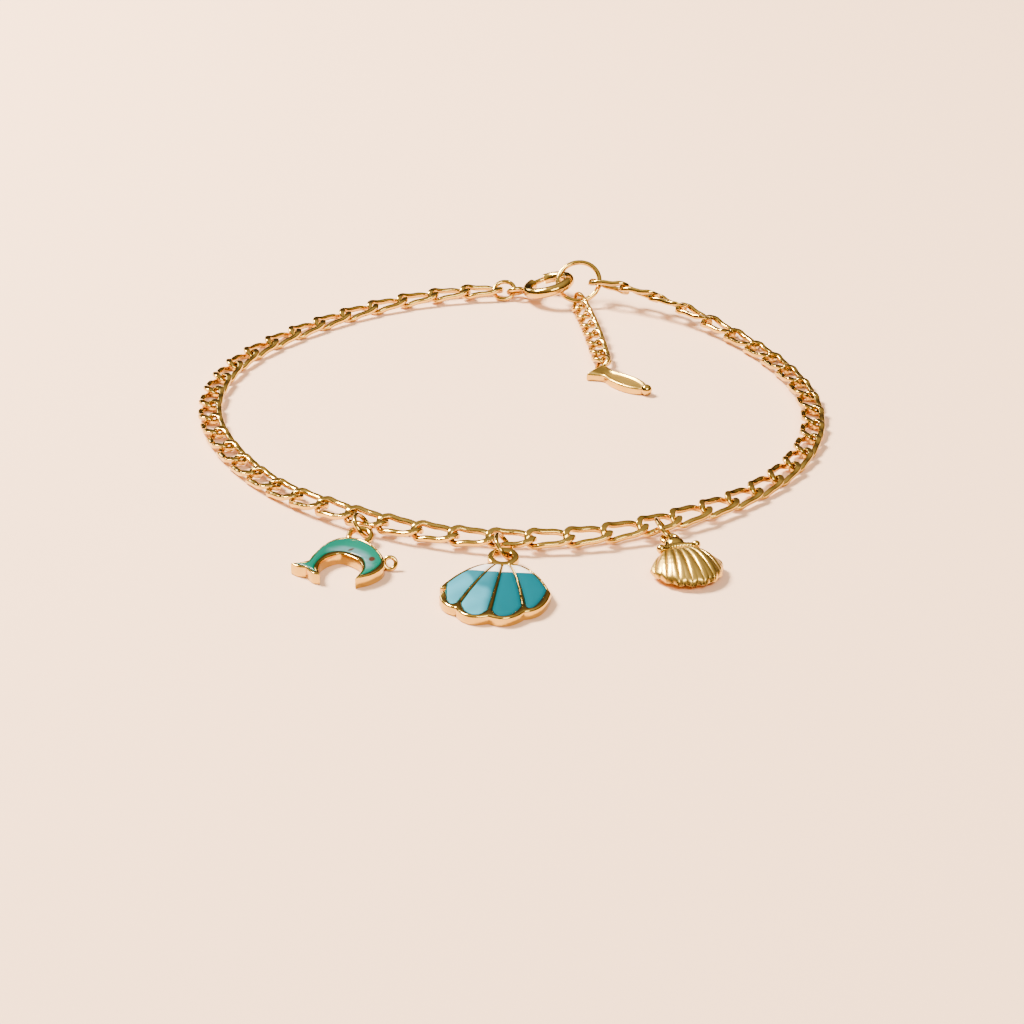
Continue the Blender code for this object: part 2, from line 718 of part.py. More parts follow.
def blue_outline():
    """Return the enamelled shell's outline, X down the shell, with its notch near one corner."""
    rim_steps = 32
    side_steps = [0.75, 0.5, 0.3, 0.16, 0.06, 0.0]
    outline = []
    for k in range(rim_steps + 1):
        s = -1 + 2 * k / rim_steps
        wide, deep = fan_point(BLUE_FAN, s, 1.0)
        notch = 1 - BLUE_NOTCH_DEPTH * math.exp(-((s - BLUE_NOTCH) / 0.04) ** 2)
        outline.append((deep * notch, wide * notch))
    right = [fan_point(BLUE_FAN, 1.0, t) for t in side_steps]
    left = [fan_point(BLUE_FAN, -1.0, t) for t in reversed(side_steps)]
    outline.extend((deep, wide) for wide, deep in right + left)
    return outline


def cell_point(cell, q, t, inset):
    """Return a point of an enamel cell: q across it from -1 to 1, t down the shell."""
    low = -1 + 2 * cell / BLUE_CELLS
    high = low + 2 / BLUE_CELLS
    rib = (BLUE_RIB + BLUE_RIB_FLARE * t) / 2
    left = fan_point(BLUE_FAN, low, t)[0] + (BLUE_EDGE if cell == 0 else rib) + inset
    right = fan_point(BLUE_FAN, high, t)[0] - (BLUE_EDGE if cell == BLUE_CELLS - 1 else rib) - inset
    middle, half = (left + right) / 2, (right - left) / 2
    s = low + (q + 1) / 2 * (high - low)
    return fan_point(BLUE_FAN, s, t)[1], middle + q * half


def cell_share(cell, q, depth):
    """Return the t at which a cell's line q is a given distance below the hinge."""
    s = -1 + (2 * cell + q + 1) / BLUE_CELLS
    return depth / fan_point(BLUE_FAN, s, 1.0)[1]


def cell_outline(cell, top, bottom, rounded, inset):
    """Return the outline of an enamel filling between two depths below the hinge."""
    across = [-1 + k / 3 for k in range(7)]
    upper = [cell_point(cell, q, cell_share(cell, q, top + inset), inset) for q in across]
    lower = []
    for q in across:
        t = 1 - (BLUE_RIM + 1.8 * inset) / BLUE_LENGTH - 0.075 * abs(q) ** 3
        if cell == 0 and q < 0:
            t -= 0.05 * abs(q)
        if not rounded:
            t = cell_share(cell, q, bottom - inset)
        lower.append(cell_point(cell, q, t, inset))
    sides = []
    steps = 7 if rounded else 3
    for q in (1, -1):
        start = cell_share(cell, q, top + inset)
        end = cell_share(cell, q, lower[-1 if q > 0 else 0][0])
        shares = [start + (end - start) * (k / steps) ** 2 for k in range(1, steps)]
        if q < 0:
            shares.reverse()
        sides.append([cell_point(cell, q, t, inset) for t in shares])
    return upper + sides[0] + lower[::-1] + sides[1]


def blue_pieces(anchor):
    """Return the enamelled shell's ring, its gold body and its eight fillings."""
    rise = BLUE_LENGTH * math.sin(BLUE_TILT)
    hang = Hanging(anchor, math.radians(-92), BLUE_STRETCH, BAND_SIZE, BAND_WALL,
                   rise + BLUE_THICK / 2)
    flat = hang.place(SOLDER)
    turn = Matrix.Rotation(BLUE_TURN, 4, "Z")
    tilt = Matrix.Rotation(BLUE_TILT, 4, "Y")
    place = flat @ turn @ Matrix.Translation((0, 0, rise)) @ tilt
    body = plate(blue_outline(), 0, BLUE_THICK)
    floor = BLUE_THICK - BLUE_FILL
    tips = []
    cells = []
    top = BLUE_EDGE
    for cell in range(BLUE_CELLS):
        pocket = plate(cell_outline(cell, top, 0, True, 0.0), floor, BLUE_THICK + BLUE_FILL)
        body = combined(body, pocket, "DIFFERENCE")
        low, high = floor + ENAMEL_GAP, BLUE_THICK - ENAMEL_GAP
        tips.append(moved(plate(cell_outline(cell, top, BLUE_WHITE, False, ENAMEL_GAP), low, high), place))
        cells.append(moved(plate(cell_outline(cell, BLUE_WHITE, 0, True, ENAMEL_GAP), low, high), place))
    band = band_mesh()
    band.transform(frame(hang.loop_centre, hang.loop_along, Vector((0, 0, 1)).cross(hang.along)))
    body = fused([moved(body, place), band])
    return hang.ring_mesh(), body, tips, cells


def band_mesh():
    """Return a wide flat band bent to a ring about Z."""
    count = 14
    outer = rod(BAND_SIZE, BAND_WIDTH, count)
    inner = rod(BAND_SIZE - 2 * BAND_WALL, 2 * BAND_WIDTH, count)
    return combined(outer, inner, "DIFFERENCE")


def gold_top(s, t):
    """Return the cast shell's upper height: a dome with rounded ribs that die at the hinge."""
    dome = math.sin(math.pi * min(1.0, 0.22 + 0.78 * t)) ** 0.7 * (1 - s ** 4)
    rib = abs(math.cos(math.pi * GOLD_RIBS * s / 2)) * t * (1 - t ** 6)
    return GOLD_RIM_HEIGHT + GOLD_DOME * dome + GOLD_RIB_HEIGHT * rib


def gold_under(s, t):
    """Return the cast shell's lower height: a shallow bowl that rests on the surface."""
    bowl = math.sin(math.pi * min(1.0, 0.3 + 0.7 * t)) ** 0.5 * (1 - s ** 4)
    return GOLD_RIM_HEIGHT * 0.55 * (1 - bowl)


def gold_shell():
    """Return the cast shell as one solid between its upper and lower valves."""
    across, down = 4 * GOLD_RIBS, 5
    edit = bmesh.new()
    sheets = []
    for fan, height, inset in ((GOLD_FAN, gold_top, 0.0), (GOLD_UNDER_FAN, gold_under, GOLD_UNDER_INSET)):
        sheet = []
        for i in range(across + 1):
            s = -1 + 2 * i / across
            row = []
            for j in range(down + 1):
                t = j / down
                wide, deep = fan_point(fan, s, t)
                share = 1 - inset * t
                row.append(edit.verts.new((deep * share, wide * share, height(s, t))))
            sheet.append(row)
        sheets.append(sheet)
    upper, lower = sheets
    for i in range(across):
        for j in range(down):
            edit.faces.new((upper[i][j], upper[i][j + 1], upper[i + 1][j + 1], upper[i + 1][j]))
            edit.faces.new((lower[i][j], lower[i + 1][j], lower[i + 1][j + 1], lower[i][j + 1]))
        edit.faces.new((lower[i][down], lower[i + 1][down], upper[i + 1][down], upper[i][down]))
    edit.faces.new([row[0] for row in upper] + [row[0] for row in reversed(lower)])
    for j in range(down):
        for i in (0, across):
            face = (upper[i][j], lower[i][j], lower[i][j + 1], upper[i][j + 1])
            edit.faces.new(face if i == 0 else face[::-1])
    mesh = bpy.data.meshes.new("shell")
    edit.to_mesh(mesh)
    edit.free()
    return mesh


def gold_pieces(anchor):
    """Return the cast shell's ring and its one-piece body with cap, collar, beads and loop."""
    hang = Hanging(anchor, math.radians(-78), GOLD_STRETCH, GOLD_LOOP, LOOP_WIRE, GOLD_CAP / 2)
    middle = Matrix.Translation((GOLD_CAP / 2, 0, GOLD_CAP / 2 + FLOOR_GAP))
    cap = moved(ball(GOLD_CAP, 12, 8), hang.place(SOLDER) @ middle @ Matrix.Rotation(CAP_TURN, 4, "Z"))
    place = hang.place(2 * SOLDER - GOLD_CAP) @ Matrix.Rotation(GOLD_TURN, 4, "Z")
    shell = moved(gold_shell(), place)
    high = GOLD_RIM_HEIGHT + GOLD_DOME * 0.35
    bend = [(COLLAR_SAG * y * y, y * COLLAR_HALF, high) for y in (-1, -0.5, 0, 0.5, 1)]
    collar = moved(tube(bend, COLLAR_SIZE, False), place)
    beads = []
    for side in (-1, 1):
        corner = Vector((BEAD_SIZE / 2, side * (COLLAR_HALF - BEAD_SIZE / 5), high + BEAD_SIZE / 7))
        spot = place @ Matrix.Translation(corner) @ Matrix.Rotation(side * 0.3, 4, "X")
        beads.append(moved(ball(BEAD_SIZE, 8, 5), spot))
    loop = ring(hang.loop_centre, hang.loop_along, 0, GOLD_LOOP, LOOP_WIRE)
    return hang.ring_mesh(), fused([shell, collar, *beads, cap, loop])


# Assembly


class Assembly:
    """Collects the finished pieces as objects under one empty."""

    def __init__(self):
        self.parts = make_collection("charm_bracelet")
        self.root = bpy.data.objects.new("bracelet", None)
        self.parts.objects.link(self.root)
        self.materials = {
            "gold": make_material("polished_gold", GOLD, 1.0, 0.14),
            "teal": make_material("teal_enamel", TEAL, 0.0, 0.08),
            "aqua": make_material("aqua_enamel", AQUA, 0.0, 0.08),
            "white": make_material("white_enamel", WHITE, 0.0, 0.1),
        }

    def add(self, name, mesh, material, origin=None):
        """Add one piece; a moving piece gets its origin on its joint's axis."""
        mesh.name = name
        mesh.materials.clear()
        mesh.materials.append(self.materials[material])
        mesh.shade_smooth()
        mesh.set_sharp_from_angle(angle=math.radians(35))
        obj = bpy.data.objects.new(name, mesh)
        if origin is not None:
            mesh.transform(Matrix.Translation(-origin))
            obj.location = origin
        obj.parent = self.root
        self.parts.objects.link(obj)

    def centre(self):
        """Move the whole so that its box stands centred on the origin."""
        corners = [v.co + obj.location for obj in self.parts.objects if obj.type == "MESH"
                   for v in obj.data.vertices]
        for axis in (0, 1):
            low = min(c[axis] for c in corners)
            high = max(c[axis] for c in corners)
            self.root.location[axis] = -(low + high) / 2
        self.root.location.z = -min(c.z for c in corners)


def main():
    """Model the bracelet."""
    clear_scene()
    assembly = Assembly()
    closure = Closure()
    link = link_mesh(LINK_PITCH, LINK_WIRE, LINK_WIDTH, LINK_TWIST, LINK_FLAT)
    radius = solve_radius(closure)
    left = chain_side(link, walk_route(radius, LEFT_LINKS, -1), -1, closure.low, 0.0)
    right = chain_side(link, walk_route(radius, RIGHT_LINKS, 1), 1, closure.high, END_ROLL)

    back_joints, back_rolls = left[0][::-1], left[1][::-1]
    assembly.add("chain_left", chain_mesh(link, LINK_WIRE, back_joints, back_rolls), "gold")
    assembly.add("chain_right", chain_mesh(link, LINK_WIRE, *right), "gold")

    start, end = left[0][-1], right[0][-1]
    along = Vector((end.x - start.x, end.y - start.y, 0)).normalized()
    out = Vector((0, 0, 1)).cross(along)
    base = Vector((start.x, start.y, 0))

    def spot(distance, height):
        return base + along * distance + Vector((0, 0, height))

    jump = ring(spot(closure.jump, closure.low), along, CLASP_JUMP_TILT, CLASP_JUMP_SIZE, CLASP_JUMP_WIRE)
    assembly.add("clasp_jump_ring", jump, "gold")
    rising = along * math.cos(closure.pitch) + Vector((0, 0, math.sin(closure.pitch)))
    centre = spot(closure.clasp, closure.clasp_high)
    clasp_frame = frame(centre, rising, out)
    assembly.add("clasp_body", moved(clasp_body(closure), clasp_frame), "gold")
    assembly.add("clasp_bolt", moved(clasp_bolt(), clasp_frame), "gold", centre)
    end_centre = spot(closure.end, closure.high)
    end_ring = ring(end_centre, along, closure.end_tilt, END_RING_SIZE, END_RING_WIRE, 16)
    assembly.add("end_ring", end_ring, "gold")

    tail_link = link_mesh(TAIL_PITCH, TAIL_WIRE, TAIL_WIDTH, LINK_TWIST, TAIL_WIDTH)
    low_wire = end_centre - out * closure.end_radius * math.cos(closure.end_tilt)
    low_wire.z = closure.high - closure.end_radius * math.sin(closure.end_tilt)
    heading = Vector((math.cos(TAIL_HEADING), math.sin(TAIL_HEADING), 0))
    first = low_wire - heading * (END_RING_WIRE / 2 + 1.5 * PLAY - LINK_GAP / 2)
    joints, rolls = tail_joints(tail_link, first)
    assembly.add("tail_chain", chain_mesh(tail_link, TAIL_WIRE, joints, rolls), "gold")
    assembly.add("tail_tag", tail_tag(joints[-1], joints[-2]), "gold")

    pieces = dolphin_pieces(charm_anchor(left, right, DOLPHIN_LINK, DOLPHIN_SHIFT))
    assembly.add("dolphin_ring", pieces[0], "gold")
    assembly.add("dolphin_body", pieces[1], "gold")
    assembly.add("dolphin_enamel", pieces[2], "teal")

    shell_ring, shell_body, tips, cells = blue_pieces(charm_anchor(left, right, BLUE_LINK, BLUE_SHIFT))
    assembly.add("shell_ring", shell_ring, "gold")
    assembly.add("shell_body", shell_body, "gold")
    for index, (tip, cell) in enumerate(zip(tips, cells), start=1):
        assembly.add(f"shell_white_{index}", tip, "white")
        assembly.add(f"shell_aqua_{index}", cell, "aqua")

    cast_ring, cast_body = gold_pieces(charm_anchor(left, right, GOLD_LINK, GOLD_SHIFT))
    assembly.add("cast_shell_ring", cast_ring, "gold")
    assembly.add("cast_shell_body", cast_body, "gold")
    assembly.centre()


main()
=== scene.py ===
"""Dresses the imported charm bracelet: fine gold links, rings, clasp, charms and glossy enamels.

Positions are in millimetres in the loop's own frame unless a docstring says otherwise. A mesh is
moved to the row frame and scaled to metres when it is built. The chain's route is worked out again
from the same values as the CAD source, so every fine piece lies where its CAD node lies.
"""

import logging
from dataclasses import dataclass, field
from enum import Enum
from typing import Callable, Sequence

import bmesh
import bpy
import numpy as np
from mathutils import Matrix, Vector
from mathutils.geometry import delaunay_2d_cdt, tessellate_polygon

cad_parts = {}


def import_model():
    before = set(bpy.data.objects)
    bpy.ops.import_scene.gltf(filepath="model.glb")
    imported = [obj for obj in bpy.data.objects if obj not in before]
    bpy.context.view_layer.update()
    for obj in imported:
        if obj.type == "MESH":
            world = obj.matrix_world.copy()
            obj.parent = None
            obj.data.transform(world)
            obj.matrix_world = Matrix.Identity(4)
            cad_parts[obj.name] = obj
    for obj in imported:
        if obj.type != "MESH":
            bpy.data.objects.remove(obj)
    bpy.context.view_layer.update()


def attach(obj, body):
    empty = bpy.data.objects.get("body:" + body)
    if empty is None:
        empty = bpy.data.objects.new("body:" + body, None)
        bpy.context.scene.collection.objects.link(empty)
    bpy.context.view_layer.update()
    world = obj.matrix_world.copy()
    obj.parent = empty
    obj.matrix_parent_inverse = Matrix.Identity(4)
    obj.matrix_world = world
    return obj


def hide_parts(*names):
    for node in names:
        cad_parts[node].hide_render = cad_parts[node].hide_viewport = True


Array = np.ndarray
Colour = tuple[float, float, float]
Knot = tuple[float, float, bool]
Rows = Sequence[tuple[float, float | Array]]
Socket = bpy.types.NodeSocket
Tree = bpy.types.NodeTree

LOG = logging.getLogger("charm_bracelet")
MM = 0.001
UP = np.array([0.0, 0.0, 1.0])
BODY = "bracelet"
BOLT_BODY = "bolt"
MERGE = 0.0005  # mm within which two vertices become one
CREASE = np.radians(50)  # angle between faces from which an edge is shaded sharp
HALVINGS = 40  # steps of the search for the next joint
RING_STEPS = 96  # points round a ring
BAND_STEPS = 72  # points round a bail
ROUND_SIDES = 20  # points round a round wire
LINK_SIDES = 24  # points round a link's squarish wire
RIM_STEPS = 193  # points along the enamelled shell's rim
FLANK_STEPS = 50  # points down each of its sides
CELL_STEPS = 31  # points across each of its cells
CAST_STEPS = 257  # points across the cast shell
CAST_ROWS = 60  # points down the cast shell
BELLY_STEPS = 60  # points along the middle of the dolphin's belly


class Slot(Enum):
    """The record's material slots."""

    GOLD = "gold"
    TEAL = "teal_enamel"
    AQUA = "aqua_enamel"
    WHITE = "white_enamel"


# Sizes that several assemblies share


@dataclass(frozen=True)
class Clearance:
    """Gaps between neighbours, in mm.

    Args:
        play: free play in a hooked ring.
        link: free play between two links.
        solder: how deep a soldered piece sinks into its neighbour.
        floor: gap to the surface that the bracelet lies on.
    """

    play: float = 0.12
    link: float = 0.1
    solder: float = 0.25
    floor: float = 0.02


@dataclass(frozen=True)
class LinkSize:
    """One curb link: an oval of squarish wire whose ends twist and are filed flat.

    Args:
        pitch: distance between joints.
        wire: wire thickness.
        width: width over the wires.
        flat: half height of the filed link.
        twist: turn of each end, in radians.
        bias: how late the twist sets in towards the ends.
        square: superellipse power of the wire's section.
        stout: the section's width over its height.
        file: height over which a filed edge is rounded.
    """

    pitch: float = 3.4
    wire: float = 0.5
    width: float = 2.25
    flat: float = 0.46
    twist: float = np.radians(45)
    bias: float = 2.4
    square: float = 3.0
    stout: float = 1.12
    file: float = 0.03


@dataclass(frozen=True)
class FanSize:
    """A shell's plan.

    Args:
        half: half width.
        length: length from hinge to rim.
        corner: depth of the outer corners below the hinge.
        neck: half width at the hinge.
        bow: power that bows the ribs.
        scallop: depth of the rim's scallops as a share.
        ribs: number of lobes.
        spread: angle over which the ribs fan out to each side.
    """

    half: float
    length: float
    corner: float
    neck: float
    bow: float
    scallop: float
    ribs: int
    spread: float = np.radians(72)


GAP = Clearance()


# Vectors and frames


def unit(vector: Array) -> Array:
    """Return vectors divided by their lengths, along the last axis."""
    return vector / np.linalg.norm(vector, axis=-1, keepdims=True)


def bearing(angle: float) -> Array:
    """Return the flat unit vector at an angle from +X."""
    return np.array([np.cos(angle), np.sin(angle), 0.0])


def basis(origin: Array, along: Array, left: Array) -> Array:
    """Return a 4x4 frame with X along, Y near left and Z square to both.

    Args:
        origin: the frame's place.
        along: its X direction.
        left: roughly its Y direction.

    Returns:
        The frame.
    """
    x = unit(along)
    z = unit(np.cross(x, left))
    matrix = np.eye(4)
    matrix[:3, 0], matrix[:3, 1], matrix[:3, 2], matrix[:3, 3] = x, np.cross(z, x), z, origin
    return matrix


def shifted(x: float = 0.0, y: float = 0.0, z: float = 0.0) -> Array:
    """Return a 4x4 translation.

    Args:
        x: move along X.
        y: move along Y.
        z: move along Z.

    Returns:
        The frame.
    """
    matrix = np.eye(4)
    matrix[:3, 3] = x, y, z
    return matrix


def turned(angle: float, axis: str) -> Array:
    """Return a 4x4 rotation about an axis.

    Args:
        angle: the turn, in radians.
        axis: "X", "Y" or "Z".

    Returns:
        The frame.
    """
    i, j = {"X": (1, 2), "Y": (2, 0), "Z": (0, 1)}[axis]
    matrix = np.eye(4)
    matrix[i, i] = matrix[j, j] = np.cos(angle)
    matrix[j, i], matrix[i, j] = np.sin(angle), -np.sin(angle)
    return matrix


def apply(matrix: Array, points: Array) -> Array:
    """Return points moved by one 4x4 frame, or by a stack of them."""
    return points @ np.swapaxes(matrix[..., :3, :3], -1, -2) + matrix[..., None, :3, 3]


def smooth(value: Array) -> Array:
    """Return a smooth step from 0 to 1."""
    value = np.clip(value, 0, 1)
    return value * value * (3 - 2 * value)


# Shapes


@dataclass
class Shape:
    """Vertices in mm, faces as index arrays, and named values at the vertices."""

    points: Array
    faces: list[Array] = field(default_factory=list)
    values: dict[str, Array] = field(default_factory=dict)

    @classmethod
    def grid(cls, points: Array, wrap_rows: bool = False, wrap_cols: bool = False,
             values: dict[str, Array] | None = None) -> "Shape":
        """Return a sheet of quads over a (rows, columns, 3) array.

        Args:
            points: the sheet's points.
            wrap_rows: join the last row to the first.
            wrap_cols: join the last column to the first.
            values: arrays of (rows, columns) carried by the vertices.

        Returns:
            The sheet.
        """
        rows, cols = points.shape[:2]
        i = np.arange(rows if wrap_rows else rows - 1)[:, None]
        j = np.arange(cols if wrap_cols else cols - 1)[None, :]
        at = lambda a, b: (a % rows) * cols + b % cols
        quads = np.stack(np.broadcast_arrays(at(i, j), at(i, j + 1), at(i + 1, j + 1),
                                             at(i + 1, j)), -1)
        named = {name: value.ravel() for name, value in (values or {}).items()}
        return cls(points.reshape(-1, 3), [quads.reshape(-1, 4)], named)

    def placed(self, matrix: Array) -> "Shape":
        """Return the shape moved by a 4x4 frame."""
        return Shape(apply(matrix, self.points), self.faces, self.values)

    def copies(self, matrices: Array) -> "Shape":
        """Return one shape with a copy of this one at each of the frames.

        Args:
            matrices: a (count, 4, 4) stack of frames.

        Returns:
            The copies as one shape.
        """
        count, size = len(matrices), len(self.points)
        step = np.arange(count)[:, None, None] * size
        faces = [(face[None] + step).reshape(-1, face.shape[1]) for face in self.faces]
        values = {name: np.tile(value, count) for name, value in self.values.items()}
        return Shape(apply(matrices, self.points).reshape(-1, 3), faces, values)

    @staticmethod
    def joined(shapes: Sequence["Shape"]) -> "Shape":
        """Return several shapes as one; a value that a shape lacks is 0 there.

        Args:
            shapes: the shapes.

        Returns:
            The one shape.
        """
        starts = np.cumsum([0] + [len(s.points) for s in shapes])
        faces = [face + start for s, start in zip(shapes, starts) for face in s.faces]
        names = {name for s in shapes for name in s.values}
        values = {name: np.concatenate([s.values.get(name, np.zeros(len(s.points))) for s in shapes])
                  for name in names}
        return Shape(np.concatenate([s.points for s in shapes]), faces, values)

    def mesh(self, name: str, scale: float = MM) -> bpy.types.Mesh:
        """Return the shape as a mesh, in metres unless scale says otherwise.

        Args:
            name: the mesh's name.
            scale: factor on the shape's millimetres.

        Returns:
            The mesh.
        """
        mesh = bpy.data.meshes.new(name)
        sizes = np.concatenate([np.full(len(f), f.shape[1]) for f in self.faces])
        loops = np.concatenate([f.ravel() for f in self.faces])
        mesh.vertices.add(len(self.points))
        mesh.vertices.foreach_set("co", (self.points * scale).astype(np.float32).ravel())
        mesh.loops.add(len(loops))
        mesh.loops.foreach_set("vertex_index", loops.astype(np.int32))
        mesh.polygons.add(len(sizes))
        starts = np.cumsum(sizes) - sizes
        mesh.polygons.foreach_set("loop_start", starts.astype(np.int32))
        mesh.update(calc_edges=True)
        mesh.validate()
        for key, value in self.values.items():
            layer = mesh.attributes.new(key, "FLOAT", "POINT")
            layer.data.foreach_set("value", value.astype(np.float32))
        return mesh


def circle(count: int) -> Array:
    """Return evenly spaced angles round a circle, from 0 on."""
    return 2 * np.pi * np.arange(count) / count


def superellipse(wide: float, high: float, power: float, count: int) -> Array:
    """Return a closed section: x = a |cos|^(2/n), y = b |sin|^(2/n), signs kept.

    Args:
        wide: full width.
        high: full height.
        power: 2 gives an ellipse, larger values a rounder rectangle.
        count: number of points.

    Returns:
        The (count, 2) section.
    """
    angle = 2 * np.pi * (np.arange(count) + 0.5) / count
    c, s = np.cos(angle), np.sin(angle)
    bend = 2 / power
    return np.stack([np.sign(c) * np.abs(c) ** bend * wide / 2,
                     np.sign(s) * np.abs(s) ** bend * high / 2], 1)


def sweep(path: Array, section: Array, up: Array, closed: bool, scale: Array | None = None) -> Shape:
    """Return a wire: the section carried along the path, its second axis kept near up.

    Args:
        path: (count, 3) centre line.
        section: (sides, 2) section.
        up: a vector, or one for each point of the path.
        closed: whether the path closes on itself.
        scale: factor on the section at each point, 0 at both ends for rounded caps.

    Returns:
        The wire.
    """
    if closed:
        ahead = np.roll(path, -1, 0) - np.roll(path, 1, 0)
    else:
        ahead = np.gradient(path, axis=0)
    ahead = unit(ahead)
    side = unit(np.cross(np.broadcast_to(up, path.shape), ahead))
    rise = np.cross(ahead, side)
    size = np.ones(len(path)) if scale is None else scale
    points = (path[:, None] + side[:, None] * (section[None, :, :1] * size[:, None, None])
              + rise[:, None] * (section[None, :, 1:] * size[:, None, None]))
    return Shape.grid(points, wrap_rows=closed, wrap_cols=True)


def even_path(path: Array, count: int, closed: bool) -> Array:
    """Return the path sampled again at equal lengths.

    Args:
        path: the path.
        count: number of points.
        closed: whether the path closes on itself.

    Returns:
        The new path.
    """
    track = np.vstack([path, path[:1]]) if closed else path
    reach = np.concatenate([[0], np.cumsum(np.linalg.norm(np.diff(track, axis=0), axis=1))])
    want = np.linspace(0, reach[-1], count, endpoint=not closed)
    return np.stack([np.interp(want, reach, track[:, axis]) for axis in range(track.shape[1])], 1)


def rounded_ends(path: Array, radius: float, steps: int = 6) -> tuple[Array, Array]:
    """Return the path with a hemisphere's steps added at both ends, and the sections' scales.

    Args:
        path: the path.
        radius: the hemispheres' radius.
        steps: points added at each end.

    Returns:
        The longer path and the scales.
    """
    angle = np.linspace(0, np.pi / 2, steps + 1)[1:]
    scale = np.cos(angle)
    reach = np.sin(angle)[:, None] * radius
    head, tail = unit(path[0] - path[1]), unit(path[-1] - path[-2])
    track = np.vstack([(path[0] + reach * head)[::-1], path, path[-1] + reach * tail])
    return track, np.concatenate([scale[::-1], np.ones(len(path)), scale])


def ring(centre: Array, along: Array, tilt: float, size: float, wire: float, stretch: float = 0.0,
         seam: float | None = None) -> Shape:
    """Return a wire ring whose plane holds along and rises by tilt to its left.

    The centre line is x = r cos u + clamp(r cos u, stretch / 2), y = r sin u; where there is a
    seam, the points crowd towards it and the wire narrows to a fine butt joint.

    Args:
        centre: middle of the ring.
        along: a direction in its plane.
        tilt: rise of the ring's other axis.
        size: outer size before stretching.
        wire: wire thickness.
        stretch: extra length along its first axis.
        seam: angle of the butt joint, or None where the ring is soldered shut.

    Returns:
        The ring.
    """
    radius = (size - wire) / 2
    u = circle(RING_STEPS)
    scale = np.ones(RING_STEPS)
    if seam is not None:
        u = u - 0.85 * np.sin(u)
        scale = 1 - 0.22 * np.exp(-(np.minimum(u, 2 * np.pi - u) / 0.018) ** 2)
        u = u + seam
    x = radius * np.cos(u)
    path = np.stack([x + np.clip(x, -stretch / 2, stretch / 2), radius * np.sin(u), 0 * u], 1)
    across = np.cross(UP, along)
    place = basis(centre, along, across * np.cos(tilt) + UP * np.sin(tilt))
    return sweep(path, superellipse(wire, wire, 2, ROUND_SIDES), UP, True, scale).placed(place)


def globe(size: float, count: int = 32) -> Shape:
    """Return a ball about the origin: rings of radius r sin v at height r cos v.

    Args:
        size: diameter.
        count: points round the ball.

    Returns:
        The ball.
    """
    v = np.linspace(0, np.pi, count // 2 + 1)[:, None]
    u = circle(count)[None, :]
    points = np.stack([np.sin(v) * np.cos(u), np.sin(v) * np.sin(u), np.cos(v) + 0 * u], -1)
    return Shape.grid(points * size / 2, wrap_cols=True)


# Outlines and relief


def cubic(a: Array, b: Array, c: Array, d: Array, t: Array) -> Array:
    """Return points on the smooth span from b to c.

    Args:
        a: the knot before the span.
        b: the knot where it starts.
        c: the knot where it ends.
        d: the knot after it.
        t: share of the span, from 0 to 1.

    Returns:
        The points.
    """
    return 0.5 * (2 * b + (c - a) * t + (2 * a - 5 * b + 4 * c - d) * t ** 2
                  + (3 * b - a - 3 * c + d) * t ** 3)


def outline_of(knots: Sequence[Knot], x: float, y: float, steps: int) -> Array:
    """Return a closed outline through the knots on cubic spans, sharp at marked knots.

    Args:
        knots: points in shares, each with its mark.
        x: length that the first share stands for.
        y: length that the second share stands for.
        steps: points on each span.

    Returns:
        The (count, 2) outline.
    """
    place = np.array([knot[:2] for knot in knots])
    sharp = np.array([knot[2] for knot in knots])[:, None]
    after = np.roll(place, -1, 0)
    a = np.where(sharp, place, np.roll(place, 1, 0))[:, None]
    d = np.where(np.roll(sharp, -1, 0), after, np.roll(place, -2, 0))[:, None]
    b, c = place[:, None], after[:, None]
    t = (np.arange(steps) / steps)[None, :, None]
    return cubic(a, b, c, d, t).reshape(-1, 2) * (x, y)


def turning(loop: Array) -> int:
    """Return 1 where a closed outline runs anticlockwise, otherwise -1."""
    onward = np.roll(loop, -1, 0)
    return int(np.sign(np.sum(loop[:, 0] * onward[:, 1] - onward[:, 0] * loop[:, 1])))


def inward(loop: Array, distance: float) -> Array:
    """Return a closed outline moved towards its inside along its normals.

    Args:
        loop: the outline.
        distance: how far it moves, negative for outwards.

    Returns:
        The moved outline.
    """
    edge = unit(np.roll(loop, -1, 0) - loop)
    mean = unit(edge + np.roll(edge, 1, 0))
    return loop + np.stack([-mean[:, 1], mean[:, 0]], 1) * turning(loop) * distance


def distance_to(points: Array, loop: Array) -> Array:
    """Return each point's distance to a closed outline.

    Args:
        points: a (count, 2) array.
        loop: the outline.

    Returns:
        The distances.
    """
    start, step = loop, np.roll(loop, -1, 0) - loop
    gap = points[:, None] - start[None]
    share = np.clip((gap * step).sum(-1) / np.maximum((step ** 2).sum(-1), 1e-12), 0, 1)
    return np.sqrt(((gap - share[..., None] * step) ** 2).sum(-1).min(1))


def inside(points: Array, loop: Array) -> Array:
    """Return which points lie inside a closed outline, by counting crossings.

    Args:
        points: a (count, 2) array.
        loop: the outline.

    Returns:
        A mask of the points.
    """
    a, b = loop[None], np.roll(loop, -1, 0)[None]
    x, y = points[:, None, 0], points[:, None, 1]
    spans = (a[..., 1] > y) != (b[..., 1] > y)
    cross = a[..., 0] + (y - a[..., 1]) * (b[..., 0] - a[..., 0]) / np.where(
        b[..., 1] == a[..., 1], 1e-12, b[..., 1] - a[..., 1])
    return (spans & (x < cross)).sum(1) % 2 == 1


